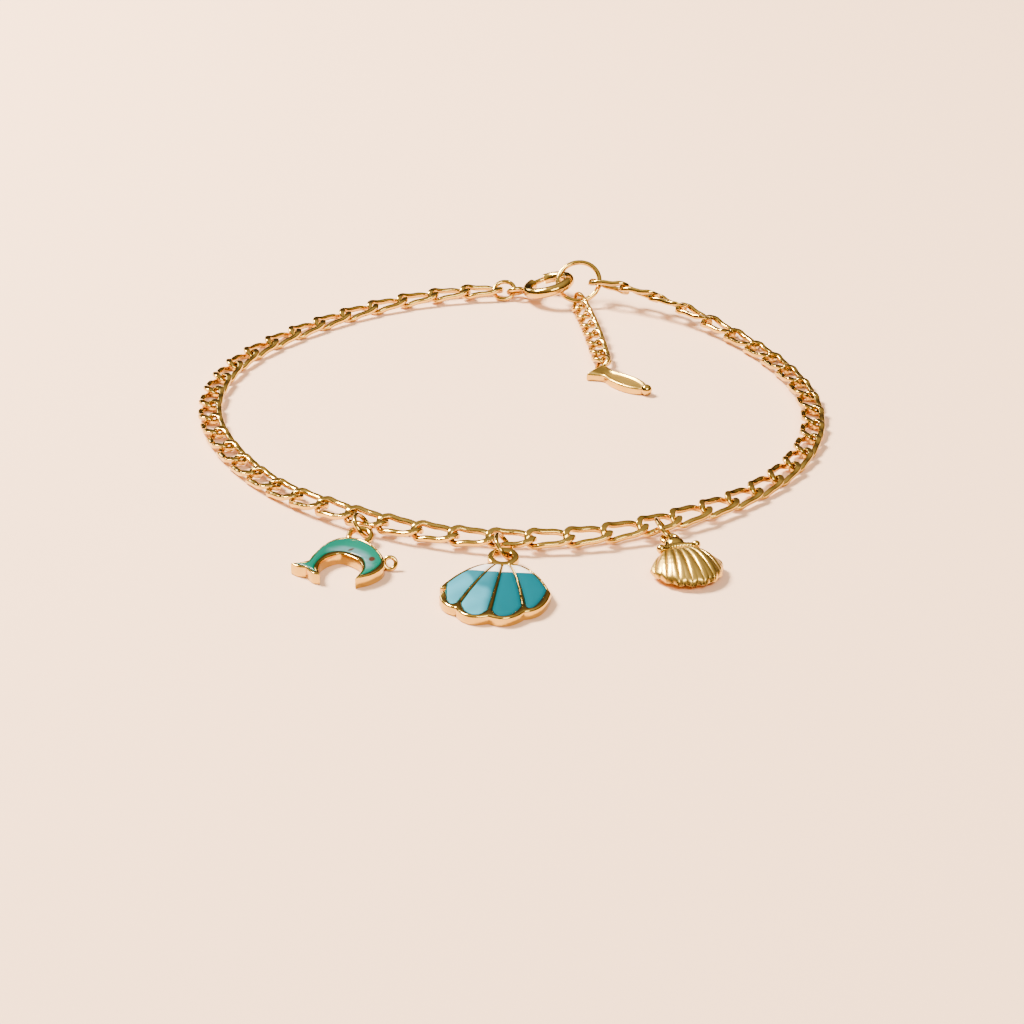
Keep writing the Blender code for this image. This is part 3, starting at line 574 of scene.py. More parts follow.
def cap(loop: Array, holes: Sequence[Array], spacing: float, insets: Sequence[float],
        height: Callable[[Array, Array], Array]) -> Shape:
    """Return a fine triangulated top over an outline with holes.

    Args:
        loop: the outer outline.
        holes: outlines of the openings.
        spacing: distance between inner points.
        insets: distances from every edge at which rows of points follow it.
        height: gives z from the points and their distances to the nearest edge.

    Returns:
        The top.
    """
    loops = [loop, *holes]
    rows = [inward(edge, inset if k == 0 else -inset) for k, edge in enumerate(loops)
            for inset in insets]
    row_sizes = np.concatenate([np.full(len(row), insets[n % len(insets)])
                                for n, row in enumerate(rows)])
    low, high = loop.min(0), loop.max(0)
    xs = np.arange(low[0], high[0], spacing)
    ys = np.arange(low[1], high[1], spacing * 0.866)
    inner = np.stack(np.meshgrid(xs, ys), -1)
    inner[1::2, :, 0] += spacing / 2
    inner = inner.reshape(-1, 2)
    free = np.vstack([np.concatenate(rows), inner])
    least = np.concatenate([row_sizes * 0.9, np.full(len(inner), insets[-1] + spacing * 0.4)])
    reach = np.min([distance_to(free, edge) for edge in loops], 0)
    keep = (reach >= least) & inside(free, loop)
    for hole in holes:
        keep &= ~inside(free, hole)
    free, reach = free[keep], reach[keep]
    flat = np.vstack([*loops, free])
    ahead, edges, start = np.full(len(flat), -1), [], 0
    for k, edge in enumerate(loops):
        index = start + np.arange(len(edge))
        edges.append(np.stack([index, np.roll(index, -1)], 1))
        ahead[index] = np.roll(index, -turning(edge) if k == 0 else turning(edge))
        start += len(edge)
    result = delaunay_2d_cdt([Vector(p) for p in flat], np.concatenate(edges).tolist(), [], 0, 1e-7,
                             False)
    flat, faces = np.array([tuple(p) for p in result[0]]), np.array(result[2])
    middle = flat[faces].mean(1)
    keep = inside(middle, loop)
    for hole in holes:
        keep &= ~inside(middle, hole)
    ahead = np.pad(ahead, (0, len(flat) - len(ahead)), constant_values=-1)
    onward = np.roll(faces, -1, 1)
    keep = (keep | (ahead[faces] == onward).any(1)) & ~(ahead[onward] == faces).any(1)
    reach = np.min([distance_to(flat, edge) for edge in loops], 0)
    points = np.column_stack([flat, height(flat, reach)])
    return Shape(points, [faces[keep]])


def skirt(loop: Array, rows: Rows, floor: bool = True) -> Shape:
    """Return a wall that follows an outline downwards, with a bottom face.

    Args:
        loop: the outline.
        rows: (distance inwards, height or heights) of each row, from the top.
        floor: whether the last row is closed by a face.

    Returns:
        The wall.
    """
    points = np.stack([np.column_stack([inward(loop, inset), np.broadcast_to(z, len(loop))])
                       for inset, z in rows])
    wall = Shape.grid(points, wrap_cols=True)
    if floor:
        corners = tessellate_polygon([[Vector(p) for p in points[-1]]])
        wall.faces.append(np.array(corners) + len(loop) * (len(rows) - 1))
    return wall


def rounding(reach: Array, radius: float) -> Array:
    """Return how far a rounded edge falls below its top at a distance from the edge."""
    share = 1 - np.clip(reach / radius, 0, 1)
    return radius * (1 - np.sqrt(1 - share ** 2))


# Chain


def curb_link(size: LinkSize, flat: float, steps: int = 56) -> Shape:
    """Return one fine curb link along X.

    Its centre line is a stadium turned about X by twist * |x / half length| ^ bias; the squarish
    section stays upright, and the heights are cut off at the filed faces.

    Args:
        size: the link's sizes.
        flat: half height of the filed link.
        steps: points along the wire.

    Returns:
        The closed wire.
    """
    half_long = (size.pitch + size.wire + GAP.link) / 2
    half_wide = (size.width - size.wire) / 2
    straight = half_long - half_wide
    angle = np.linspace(-np.pi / 2, np.pi / 2, 40)
    side = np.stack([straight + half_wide * np.cos(angle), half_wide * np.sin(angle)], 1)
    oval = even_path(np.vstack([side, -side]), steps, True)
    turn = -np.sign(oval[:, 0]) * size.twist * np.abs(oval[:, 0] / half_long) ** size.bias
    path = np.stack([oval[:, 0], oval[:, 1] * np.cos(turn), oval[:, 1] * np.sin(turn)], 1)
    up = np.stack([0 * turn, -np.sin(turn), np.cos(turn)], 1) * 0.3 + UP
    section = superellipse(size.wire * size.stout, size.wire, size.square, LINK_SIDES)
    shape = sweep(path, section, up, True)
    limit = flat - size.file
    z = shape.points[:, 2]
    over = np.maximum(np.abs(z) - limit, 0)
    filed = np.minimum(np.abs(z), limit) + size.file * np.tanh(over / 0.05)
    shape.points[:, 2] = np.sign(z) * filed
    return shape


def rest_height(link: Shape, roll: float) -> float:
    """Return how high a rolled link's middle lies.

    Args:
        link: the fine link.
        roll: its turn about X.

    Returns:
        The height at which its lowest point clears the floor.
    """
    return GAP.floor - (link.points[:, 1] * np.sin(roll) + link.points[:, 2] * np.cos(roll)).min()


def link_place(start: Array, end: Array, roll: float) -> Array:
    """Return a link's frame between two joints.

    Args:
        start: the joint at its negative end.
        end: the joint at its positive end.
        roll: how far its left side is raised.

    Returns:
        A 4x4 frame.
    """
    along = end - start
    left = unit(np.cross(UP, along))
    up = unit(np.cross(along, left))
    return basis((start + end) / 2, along, left * np.cos(roll) + up * np.sin(roll))


@dataclass
class Side:
    """One side of the loop.

    Args:
        joints: the joints from the front.
        rolls: the links' rolls.
    """

    joints: Array
    rolls: Array

    def places(self, backwards: bool) -> Array:
        """Return the links' frames.

        Args:
            backwards: whether the links point from the back to the front.

        Returns:
            A (count, 4, 4) stack of frames.
        """
        pairs = zip(self.joints, self.joints[1:], self.rolls)
        return np.array([link_place(*((b, a) if backwards else (a, b)), r) for a, b, r in pairs])


@dataclass
class Chain:
    """The loop's two runs of links.

    Args:
        size: the links' sizes.
        offset: the loop's centre in the row frame.
        radius: mean radius of the route.
        start: bearing of the front joint.
        shares: distance from the centre over the mean radius, from the front round by the right.
        left_count: links on the left side.
        right_count: links on the right side.
        lean: how far the front links' inner sides are raised.
        end_roll: roll of the last link on the right.
        end_links: links over which the ends rise to the clasp.
        low_end: height of the left side's last joint.
        high_end: height of the right side's last joint.
        lift_reach: links over which the chain is lifted beside a charm.
        charm_ring: wire of the charm rings that pass below the chain.
        charm_links: the links that carry the charms.
    """

    size: LinkSize = LinkSize()
    offset: tuple[float, float, float] = (0.14751, 6.10573, 0.00071)
    radius: float = 29.322925
    start: float = np.radians(-93.4)
    shares: tuple[float, ...] = (1.026, 1.020, 0.995, 0.985, 0.974, 0.967, 0.988, 1.012,
                                 1.036, 1.022, 0.995, 1.000, 0.983, 0.958, 0.965, 0.995)
    left_count: int = 26
    right_count: int = 25
    lean: float = np.radians(14)
    end_roll: float = np.radians(38)
    end_links: int = 6
    low_end: float = 0.8616
    high_end: float = 2.345
    lift_reach: float = 3.5
    charm_ring: float = 0.42
    charm_links: tuple[int, ...] = (-4, 0, 4)

    def __post_init__(self) -> None:
        """Make the fine link and lay both sides."""
        self.link = curb_link(self.size, self.size.flat)
        self.left = self._side(self._walk(self.left_count, -1), -1, self.low_end, 0.0)
        self.right = self._side(self._walk(self.right_count, 1), 1, self.high_end, self.end_roll)

    def _point(self, angle: Array) -> Array:
        """Return the route's points at bearings: a cubic curve through the shares of the radius.

        Args:
            angle: bearings from +X.

        Returns:
            Points, with their coordinates along the last axis.
        """
        shares = np.array(self.shares)
        place = (angle + np.pi / 2) / (2 * np.pi) * len(shares)
        index = np.floor(place).astype(int)
        a, b, c, d = (shares[(index + n) % len(shares)] for n in (-1, 0, 1, 2))
        reach = self.radius * cubic(a, b, c, d, place - index)
        return np.stack([np.cos(angle), np.sin(angle), 0 * angle], -1) * reach[..., None]

    def _walk(self, count: int, direction: int) -> Array:
        """Return joints a pitch apart along the route, from the front joint.

        Args:
            count: number of links.
            direction: 1 goes round by the right, -1 by the left.

        Returns:
            A (count + 1, 3) array, all at height 0.
        """
        angle = self.start
        joints = [self._point(np.array(angle))]
        for _ in range(count):
            low, high = 0.0, 2 * self.size.pitch / self.radius
            for _ in range(HALVINGS):
                middle = (low + high) / 2
                ahead = self._point(np.array(angle + direction * middle))
                short = np.linalg.norm(ahead - joints[-1]) < self.size.pitch
                low, high = (middle, high) if short else (low, middle)
            angle += direction * low
            joints.append(self._point(np.array(angle)))
        return np.array(joints)

    def _lifted(self, roll: float) -> float:
        """Return the height at which a link clears the charm ring that passes below it.

        Args:
            roll: the link's roll.

        Returns:
            The height of its middle.
        """
        clear = GAP.floor + self.charm_ring + 2 * GAP.play + self.size.wire / 2
        return clear + (self.size.width - self.size.wire) / 2 * np.sin(roll)

    def _side(self, flat: Array, direction: int, high: float, end_roll: float) -> Side:
        """Return a side whose joints lie on the surface, over the charm rings and up to the clasp.

        Args:
            flat: the joints' plan.
            direction: 1 on the right, -1 on the left.
            high: height of the last joint.
            end_roll: roll at the last joint.

        Returns:
            The side.
        """
        count = len(flat) - 1
        joints, rolls = flat.copy(), np.zeros(count + 1)
        for index, point in enumerate(flat):
            lean = self.lean * (1 - point[1] / np.linalg.norm(point)) / 2
            near = float(smooth(1 - (count - index) / self.end_links))
            rolls[index] = lean + (end_roll - lean) * near
            height = rest_height(self.link, rolls[index])
            gaps = [abs(direction * index - centre - 0.5) for centre in self.charm_links]
            share = float(smooth((self.lift_reach - min(gaps)) / (self.lift_reach - 1)))
            height += (self._lifted(rolls[index]) - height) * share
            joints[index, 2] = height + (high - height) * near
        return Side(joints, (rolls[:-1] + rolls[1:]) / 2)

    def anchor(self, index: int, shift: float) -> Array:
        """Return the middle of a link's outer wire, where a charm's ring hangs.

        Args:
            index: the link, counted from the front, negative on the left.
            shift: place along it.

        Returns:
            The point.
        """
        side, step = (self.left, -index - 1) if index < 0 else (self.right, index)
        ends = side.joints[step], side.joints[step + 1]
        start, end = ends[::-1] if index < 0 else ends
        place = link_place(start, end, side.rolls[step])
        return (place @ [shift, -(self.size.width - self.size.wire) / 2, 0, 1])[:3]

    def build(self, shop: "Shop") -> None:
        """Make both runs and dress them in gold.

        Args:
            shop: the shop that finishes pieces.
        """
        for name, side in (("left", self.left), ("right", self.right)):
            run = self.link.copies(side.places(name == "left"))
            shop.add(f"links_{name}", run, Slot.GOLD, f"chain_{name}")


# Clasp and tail


@dataclass
class Clasp:
    """The spring ring with its bolt, its jump ring and the extender's end ring.

    Args:
        chain: the chain that it closes.
        size: outer size of the spring ring.
        tube: thickness of its tube.
        bore: bore of its tube.
        mouth: angles between which the tube is open.
        seat: how far the bolt's tip reaches into the tube beyond the mouth.
        travel: the bolt's travel.
        bolt: thickness of the bolt.
        bolt_tail: how far the bolt reaches behind its knob.
        lip: rounding of the mouth's edges.
        knob: radius of the thumb knob's section.
        knob_height: how far the knob stands out.
        knob_angle: the knob's bearing while the clasp is shut.
        eye: outer size of the soldered eye.
        eye_wire: its wire.
        eye_tilt: its tilt.
        jump: outer size of the jump ring.
        jump_wire: its wire.
        jump_tilt: its tilt.
        jump_seam: angle of its butt joint.
        end_ring: outer size of the end ring.
        end_wire: its wire.
        end_tilt: its tilt.
        jump_at: the jump ring's place along the line between the chain's ends.
        clasp_at: the spring ring's place along it.
        clasp_high: height of the spring ring.
        pitch: slope of the spring ring.
        end_at: the end ring's place along the line.
    """

    chain: Chain
    size: float = 5.5
    tube: float = 1.1
    bore: float = 0.76
    mouth: tuple[float, float] = (np.radians(112), np.radians(146))
    seat: float = np.radians(8)
    travel: float = np.radians(38)
    bolt: float = 0.52
    bolt_tail: float = np.radians(34)
    lip: float = 0.1
    knob: float = 0.34
    knob_height: float = 0.5
    knob_angle: float = np.radians(84)
    eye: float = 2.0
    eye_wire: float = 0.5
    eye_tilt: float = np.radians(-35)
    jump: float = 2.6
    jump_wire: float = 0.45
    jump_tilt: float = np.radians(35)
    jump_seam: float = 1.2
    end_ring: float = 4.8
    end_wire: float = 0.5
    end_tilt: float = 0.7951327
    jump_at: float = 0.66
    clasp_at: float = 5.2694
    clasp_high: float = 1.7725
    pitch: float = 0.2632787
    end_at: float = 8.4236

    def __post_init__(self) -> None:
        """Find the line between the chain's ends and the spring ring's frame."""
        start, end = self.chain.left.joints[-1], self.chain.right.joints[-1]
        self.along = unit((end - start) * (1, 1, 0))
        self.out = np.cross(UP, self.along)
        self.base = start * (1, 1, 0)
        self.radius = (self.size - self.tube) / 2
        rising = self.along * np.cos(self.pitch) + UP * np.sin(self.pitch)
        self.place = basis(self.spot(self.clasp_at, self.clasp_high), rising, self.out)

    def spot(self, distance: float, height: float) -> Array:
        """Return a point over the line between the chain's ends.

        Args:
            distance: its distance from the left end.
            height: its height.

        Returns:
            The point.
        """
        return self.base + self.along * distance + UP * height

    def low_wire(self) -> Array:
        """Return the lowest point of the end ring's centre line."""
        radius = (self.end_ring - self.end_wire) / 2
        centre = self.spot(self.end_at, self.chain.high_end)
        level, drop = radius * np.cos(self.end_tilt), radius * np.sin(self.end_tilt)
        return centre - self.out * level - UP * drop

    def _arc_rows(self, rows: Sequence[tuple[float, float]], sides: int = 32) -> Shape:
        """Return circles along the clasp's centre line as one sheet.

        Args:
            rows: (angle, radius) of each circle.
            sides: points round each circle.

        Returns:
            The sheet.
        """
        angle, size = np.array(rows).T
        u = circle(sides)
        reach = self.radius + size[:, None] * np.cos(u)
        points = np.stack([reach * np.cos(angle)[:, None], reach * np.sin(angle)[:, None],
                           size[:, None] * np.sin(u)], -1)
        return Shape.grid(points, wrap_cols=True)

    def _tube(self) -> Shape:
        """Return the tube: bore, rounded mouth, outer skin, rounded mouth and seat in one sheet."""
        low, high = self.mouth
        outer, bore = self.tube / 2, self.bore / 2
        edge = [(self.lip / self.radius * (1 - np.sin(a)), outer - self.lip * (1 - np.cos(a)))
                for a in np.linspace(np.pi / 2, 0, 6)]
        first, last = high + self.seat, low + 2 * np.pi
        tail = self.knob_angle - self.travel - self.bolt_tail + 2 * np.pi
        rows = [(first, 0.0), (first, bore), (high, bore + 0.02), *[(high + a, r) for a, r in edge]]
        rows += [(a, outer) for a in np.linspace(high + 0.1, last - 0.1, 90)]
        rows += [(last - a, r) for a, r in edge[::-1]]
        rows += [(last, bore + 0.02), *[(a, bore) for a in np.linspace(last - 0.03, tail, 24)]]
        return self._arc_rows([*rows, (tail, 0.0)])

    def _slot(self) -> Shape:
        """Return the cutter for the thumb slot: a capped arc along the tube's outer side."""
        wide = self.knob + 3 * GAP.play
        slack = wide / 2 / self.radius
        angle = np.linspace(self.knob_angle - self.travel - slack, self.knob_angle + slack, 24)
        reach = self.radius + self.tube * 0.45
        path = np.stack([reach * np.cos(angle), reach * np.sin(angle), 0 * angle], 1)
        end = np.concatenate([[0.0, 0.6], np.ones(22)])
        return sweep(path, superellipse(wide, wide, 2, ROUND_SIDES), UP, False, end * end[::-1])

    def _knob(self) -> Shape:
        """Return the bolt's thumb knob: a turned post with a small domed head."""
        rows = [(0.0, 0.0), (0.0, 0.5), (0.55, 0.5), (0.72, 0.42), (0.8, 0.55), (0.86, 0.62),
                (0.93, 0.6), (0.98, 0.45), (1.0, 0.0)]
        share, size = np.array(rows).T
        low, high = self.radius, self.size / 2 + self.knob_height
        u = circle(ROUND_SIDES)
        reach = self.knob * size[:, None]
        z = low + (high - low) * share[:, None] + 0 * u
        post = Shape.grid(np.stack([reach * np.cos(u), reach * np.sin(u), z], -1), wrap_cols=True)
        out = bearing(self.knob_angle)
        return post.placed(basis(np.zeros(3), UP, np.cross(out, UP)))

    def _rod(self) -> Shape:
        """Return the bolt's rod: a round arc with rounded ends."""
        tip = self.mouth[1] + self.seat * 0.55
        angle = np.linspace(self.knob_angle - self.bolt_tail * 0.8, tip, 40)
        arc = self.radius * np.stack([np.cos(angle), np.sin(angle), 0 * angle], 1)
        path, scale = rounded_ends(arc, 0.06)
        return sweep(path, superellipse(self.bolt, self.bolt, 2, ROUND_SIDES), UP, False, scale)

    def build(self, shop: "Shop") -> None:
        """Make the clasp's pieces and dress them in gold.

        Args:
            shop: the shop that finishes pieces.
        """
        body = shop.cut(self._tube(), self._slot())
        arm = (self.eye + self.size) / 2 - GAP.solder
        along = np.array([1.0, 0, 0])
        eye = ring(-arm * along, along, self.eye_tilt, self.eye, self.eye_wire)
        shop.add("spring_ring", Shape.joined([body, eye]).placed(self.place), Slot.GOLD,
                 "clasp_body")
        shop.add("spring_bolt", Shape.joined([self._rod(), self._knob()]).placed(self.place),
                 Slot.GOLD, "clasp_bolt", BOLT_BODY)
        jump = ring(self.spot(self.jump_at, self.chain.low_end), self.along, self.jump_tilt,
                    self.jump, self.jump_wire, seam=self.jump_seam)
        shop.add("jump_ring", jump, Slot.GOLD, "clasp_jump_ring")
        end = ring(self.spot(self.end_at, self.chain.high_end), self.along, self.end_tilt,
                   self.end_ring, self.end_wire)
        shop.add("closing_ring", end, Slot.GOLD, "end_ring")


@dataclass
class Tail:
    """The extender chain and its end tag.

    Args:
        clasp: the clasp in whose end ring it hangs.
        size: its links' sizes; they aren't filed.
        count: number of links.
        lean: roll of the first link, which the others lose step by step.
        heading: direction of the first link.
        fall: steepest slope of a link.
        bend: turn from link to link.
        tag_length: length of the tag.
        tag_width: its width.
        tag_thick: its thickness.
        tag_heading: its direction.
        tag_lobe: where the tag's loop sits, in shares of length and width.
        tag_ball: size of the ball tip.
        tag_loop: outer size of its loop.
        tag_tilt: tilt of its loop.
        edge: rounding of the tag's upper edge.
        border: width of the raised border.
        slope: width of the slope behind the border.
        sunk: depth of the sunk field.
        neck: share of the length at which the field begins.
        outline: the tag's outline, in shares of length and width.
    """

    clasp: Clasp
    size: LinkSize = LinkSize(2.4, 0.42, 1.9, bias=1.8, square=2.4, stout=1.2)
    count: int = 7
    lean: float = np.radians(45)
    heading: float = np.radians(-79)
    fall: float = np.radians(20)
    bend: float = np.radians(-1)
    tag_length: float = 7.2
    tag_width: float = 3.0
    tag_thick: float = 0.8
    tag_heading: float = np.radians(-47)
    tag_lobe: tuple[float, float] = (0.08, 0.24)
    tag_ball: float = 1.1
    tag_loop: float = 2.0
    tag_tilt: float = np.radians(45)
    edge: float = 0.2
    border: float = 0.3
    slope: float = 0.16
    sunk: float = 0.16
    neck: float = 0.2
    outline: tuple[Knot, ...] = (
        (0.0, 0.42, True), (0.12, 0.34, False), (0.26, 0.26, False), (0.46, 0.36, False),
        (0.70, 0.38, False), (0.90, 0.24, False), (0.98, 0.0, False), (0.90, -0.26, False),
        (0.70, -0.40, False), (0.46, -0.38, False), (0.30, -0.28, False), (0.20, -0.40, False),
        (0.10, -0.58, True), (0.05, -0.20, False))

    def __post_init__(self) -> None:
        """Lay the links from the end ring down to the surface."""
        self.link = curb_link(self.size, self.size.width, 48)
        gap = self.clasp.end_wire / 2 + 1.5 * GAP.play - GAP.link / 2
        point, heading = self.clasp.low_wire() - bearing(self.heading) * gap, self.heading
        joints, places = [point], []
        for index in range(self.count):
            roll = self.lean * (1 - index / self.count)
            last = index == self.count - 1
            rest = self._loop_height() if last else rest_height(self.link, roll)
            fall = max(rest - point[2], -self.size.pitch * np.sin(self.fall))
            step = bearing(heading) * np.sqrt(self.size.pitch ** 2 - fall ** 2) + UP * fall
            places.append(link_place(point, point + step, roll))
            point = point + step
            joints.append(point)
            heading += self.bend
        self.joints, self.places = joints, np.array(places)

    def _loop_height(self) -> float:
        """Return the height of the tag's loop."""
        rise = (self.tag_loop - self.size.wire) / 2 * np.sin(self.tag_tilt)
        return rise + self.size.wire / 2 + GAP.floor

    def _field(self, points: Array, reach: Array) -> Array:
        """Return how far points belong to the sunk field: 1 inside it, 0 on the border.

        Args:
            points: points in the tag's plan.
            reach: their distances to its outline.

        Returns:
            Smooth shares.
        """
        body = smooth((points[:, 0] / self.tag_length - self.neck) / 0.1)
        return smooth((reach - self.border) / self.slope) * body

    def _height(self, points: Array, reach: Array) -> Array:
        """Return the tag's top: a quarter circle at the edge, a sunk field and a swollen fork.

        Args:
            points: points in the tag's plan.
            reach: their distances to its outline.

        Returns:
            Their heights.
        """
        swell = 0.12 * np.exp(-((points[:, 0] / self.tag_length - 0.1) / 0.08) ** 2)
        top = self.tag_thick - rounding(reach, self.edge)
        return top - self.sunk * self._field(points, reach) + swell * smooth(reach / 0.4)

    def _tag(self) -> Shape:
        """Return the tag with its raised border, its matte field, its ball tip and its loop."""
        hung = unit((self.joints[-1] - self.joints[-2]) * (1, 1, 0))
        hole = self.tag_loop / 2 - self.size.wire
        centre = self.joints[-1] + hung * (hole - 1.5 * GAP.play + GAP.link / 2)
        loop = ring(centre, hung, self.tag_tilt, self.tag_loop, self.size.wire)
        along = bearing(self.tag_heading)
        left = np.cross(UP, along)
        origin = centre + hung * (self.tag_loop - self.size.wire) / 2
        origin = (origin - along * self.tag_lobe[0] * self.tag_length
                  - left * self.tag_lobe[1] * self.tag_width)
        place = basis(origin * (1, 1, 0), along, left)
        outline = outline_of(self.outline, self.tag_length, self.tag_width, 14)
        top = cap(outline, [], 0.12, [0.03, 0.07, 0.12, 0.18, 0.26, 0.34, 0.42], self._height)
        plan = top.points[:, :2]
        top.values["matte"] = 0.6 + 0.4 * self._field(plan, distance_to(plan, outline))
        wall = skirt(outline, [(0, self.tag_thick - self.edge), (0, 0.15), (0.04, 0.05), (0.1, 0.0)])
        tip = globe(self.tag_ball).placed(shifted(self.tag_length, 0, self.tag_ball / 2))
        return Shape.joined([Shape.joined([top, wall, tip]).placed(place), loop])

    def build(self, shop: "Shop") -> None:
        """Make the extender and its tag and dress them in gold.

        Args:
            shop: the shop that finishes pieces.
        """
        links = self.link.copies(self.places)
        links.points[:, 2] = np.maximum(links.points[:, 2], GAP.floor)
        shop.add("links_tail", links, Slot.GOLD, "tail_chain")
        shop.add("end_tag", self._tag(), Slot.GOLD, "tail_tag")


# Charms


@dataclass
class Charm:
    """A charm's hanging: its ring, and its loop that slopes down from the ring to its edge.

    Args:
        chain: the chain that carries it.
        link: the link that carries it, counted from the front.
        shift: place along the link.
        heading: direction in which it hangs.
        stretch: how far its ring is drawn out.
        loop: outer size of its loop.
        loop_wire: thickness of the loop.
        ring: outer size of the ring.
        wire: thickness of the ring.
        tilt: lean of the ring.
        seam: angle of the ring's butt joint.
        stouter: how far the loop's wire outgrows the solid's.
        wider: how far the loop's size outgrows the solid's.
    """

    chain: Chain
    link: int = 0
    shift: float = 0.0
    heading: float = np.radians(-90)
    stretch: float = 0.0
    loop: float = 2.4
    loop_wire: float = 0.42
    ring: float = 2.6
    wire: float = 0.42
    tilt: float = np.radians(52)
    seam: float = 2.1
    stouter: float = 0.12
    wider: float = 0.06

    def hang(self, seat: float) -> None:
        """Find the places of the ring and the loop.

        Args:
            seat: height of the loop's far side.
        """
        self.along = bearing(self.heading)
        hole = self.ring / 2 - self.wire + self.stretch / 2
        high = (self.ring - self.wire) / 2 * np.sin(self.tilt) + self.wire / 2 + GAP.floor
        anchor = self.chain.anchor(self.link, self.shift)
        gap = self.chain.size.wire / 2 + 2 * GAP.play
        self.ring_centre = anchor + self.along * (hole - gap)
        self.ring_centre[2] = high
        near = self.ring_centre + self.along * (hole - self.loop_wire / 2 - 2 * GAP.play)
        reach = self.loop - self.loop_wire
        slope = np.arcsin((high - seat) / reach)
        self.loop_along = self.along * np.cos(slope) - UP * np.sin(slope)
        self.loop_centre = near + self.loop_along * reach / 2
        self.top_edge = near + self.along * (reach * np.cos(slope) + self.loop_wire / 2)
        self.top_edge[2] = 0

    def jump_ring(self) -> Shape:
        """Return the charm's ring, with its butt joint on the far side."""
        return ring(self.ring_centre, self.along, -self.tilt, self.ring, self.wire, self.stretch,
                    self.seam)

    def loop_ring(self) -> Shape:
        """Return the charm's own loop, a little stouter than the ring that it hangs in."""
        return ring(self.loop_centre, self.loop_along, 0, self.loop + self.wider,
                    self.loop_wire + self.stouter)

    def hung(self, sink: float) -> Array:
        """Return the charm's frame: X down the charm, its top edge sunk into the loop.

        Args:
            sink: how deep it is sunk.

        Returns:
            A 4x4 frame.
        """
        return basis(self.top_edge - self.along * sink, self.along, np.cross(UP, self.along))


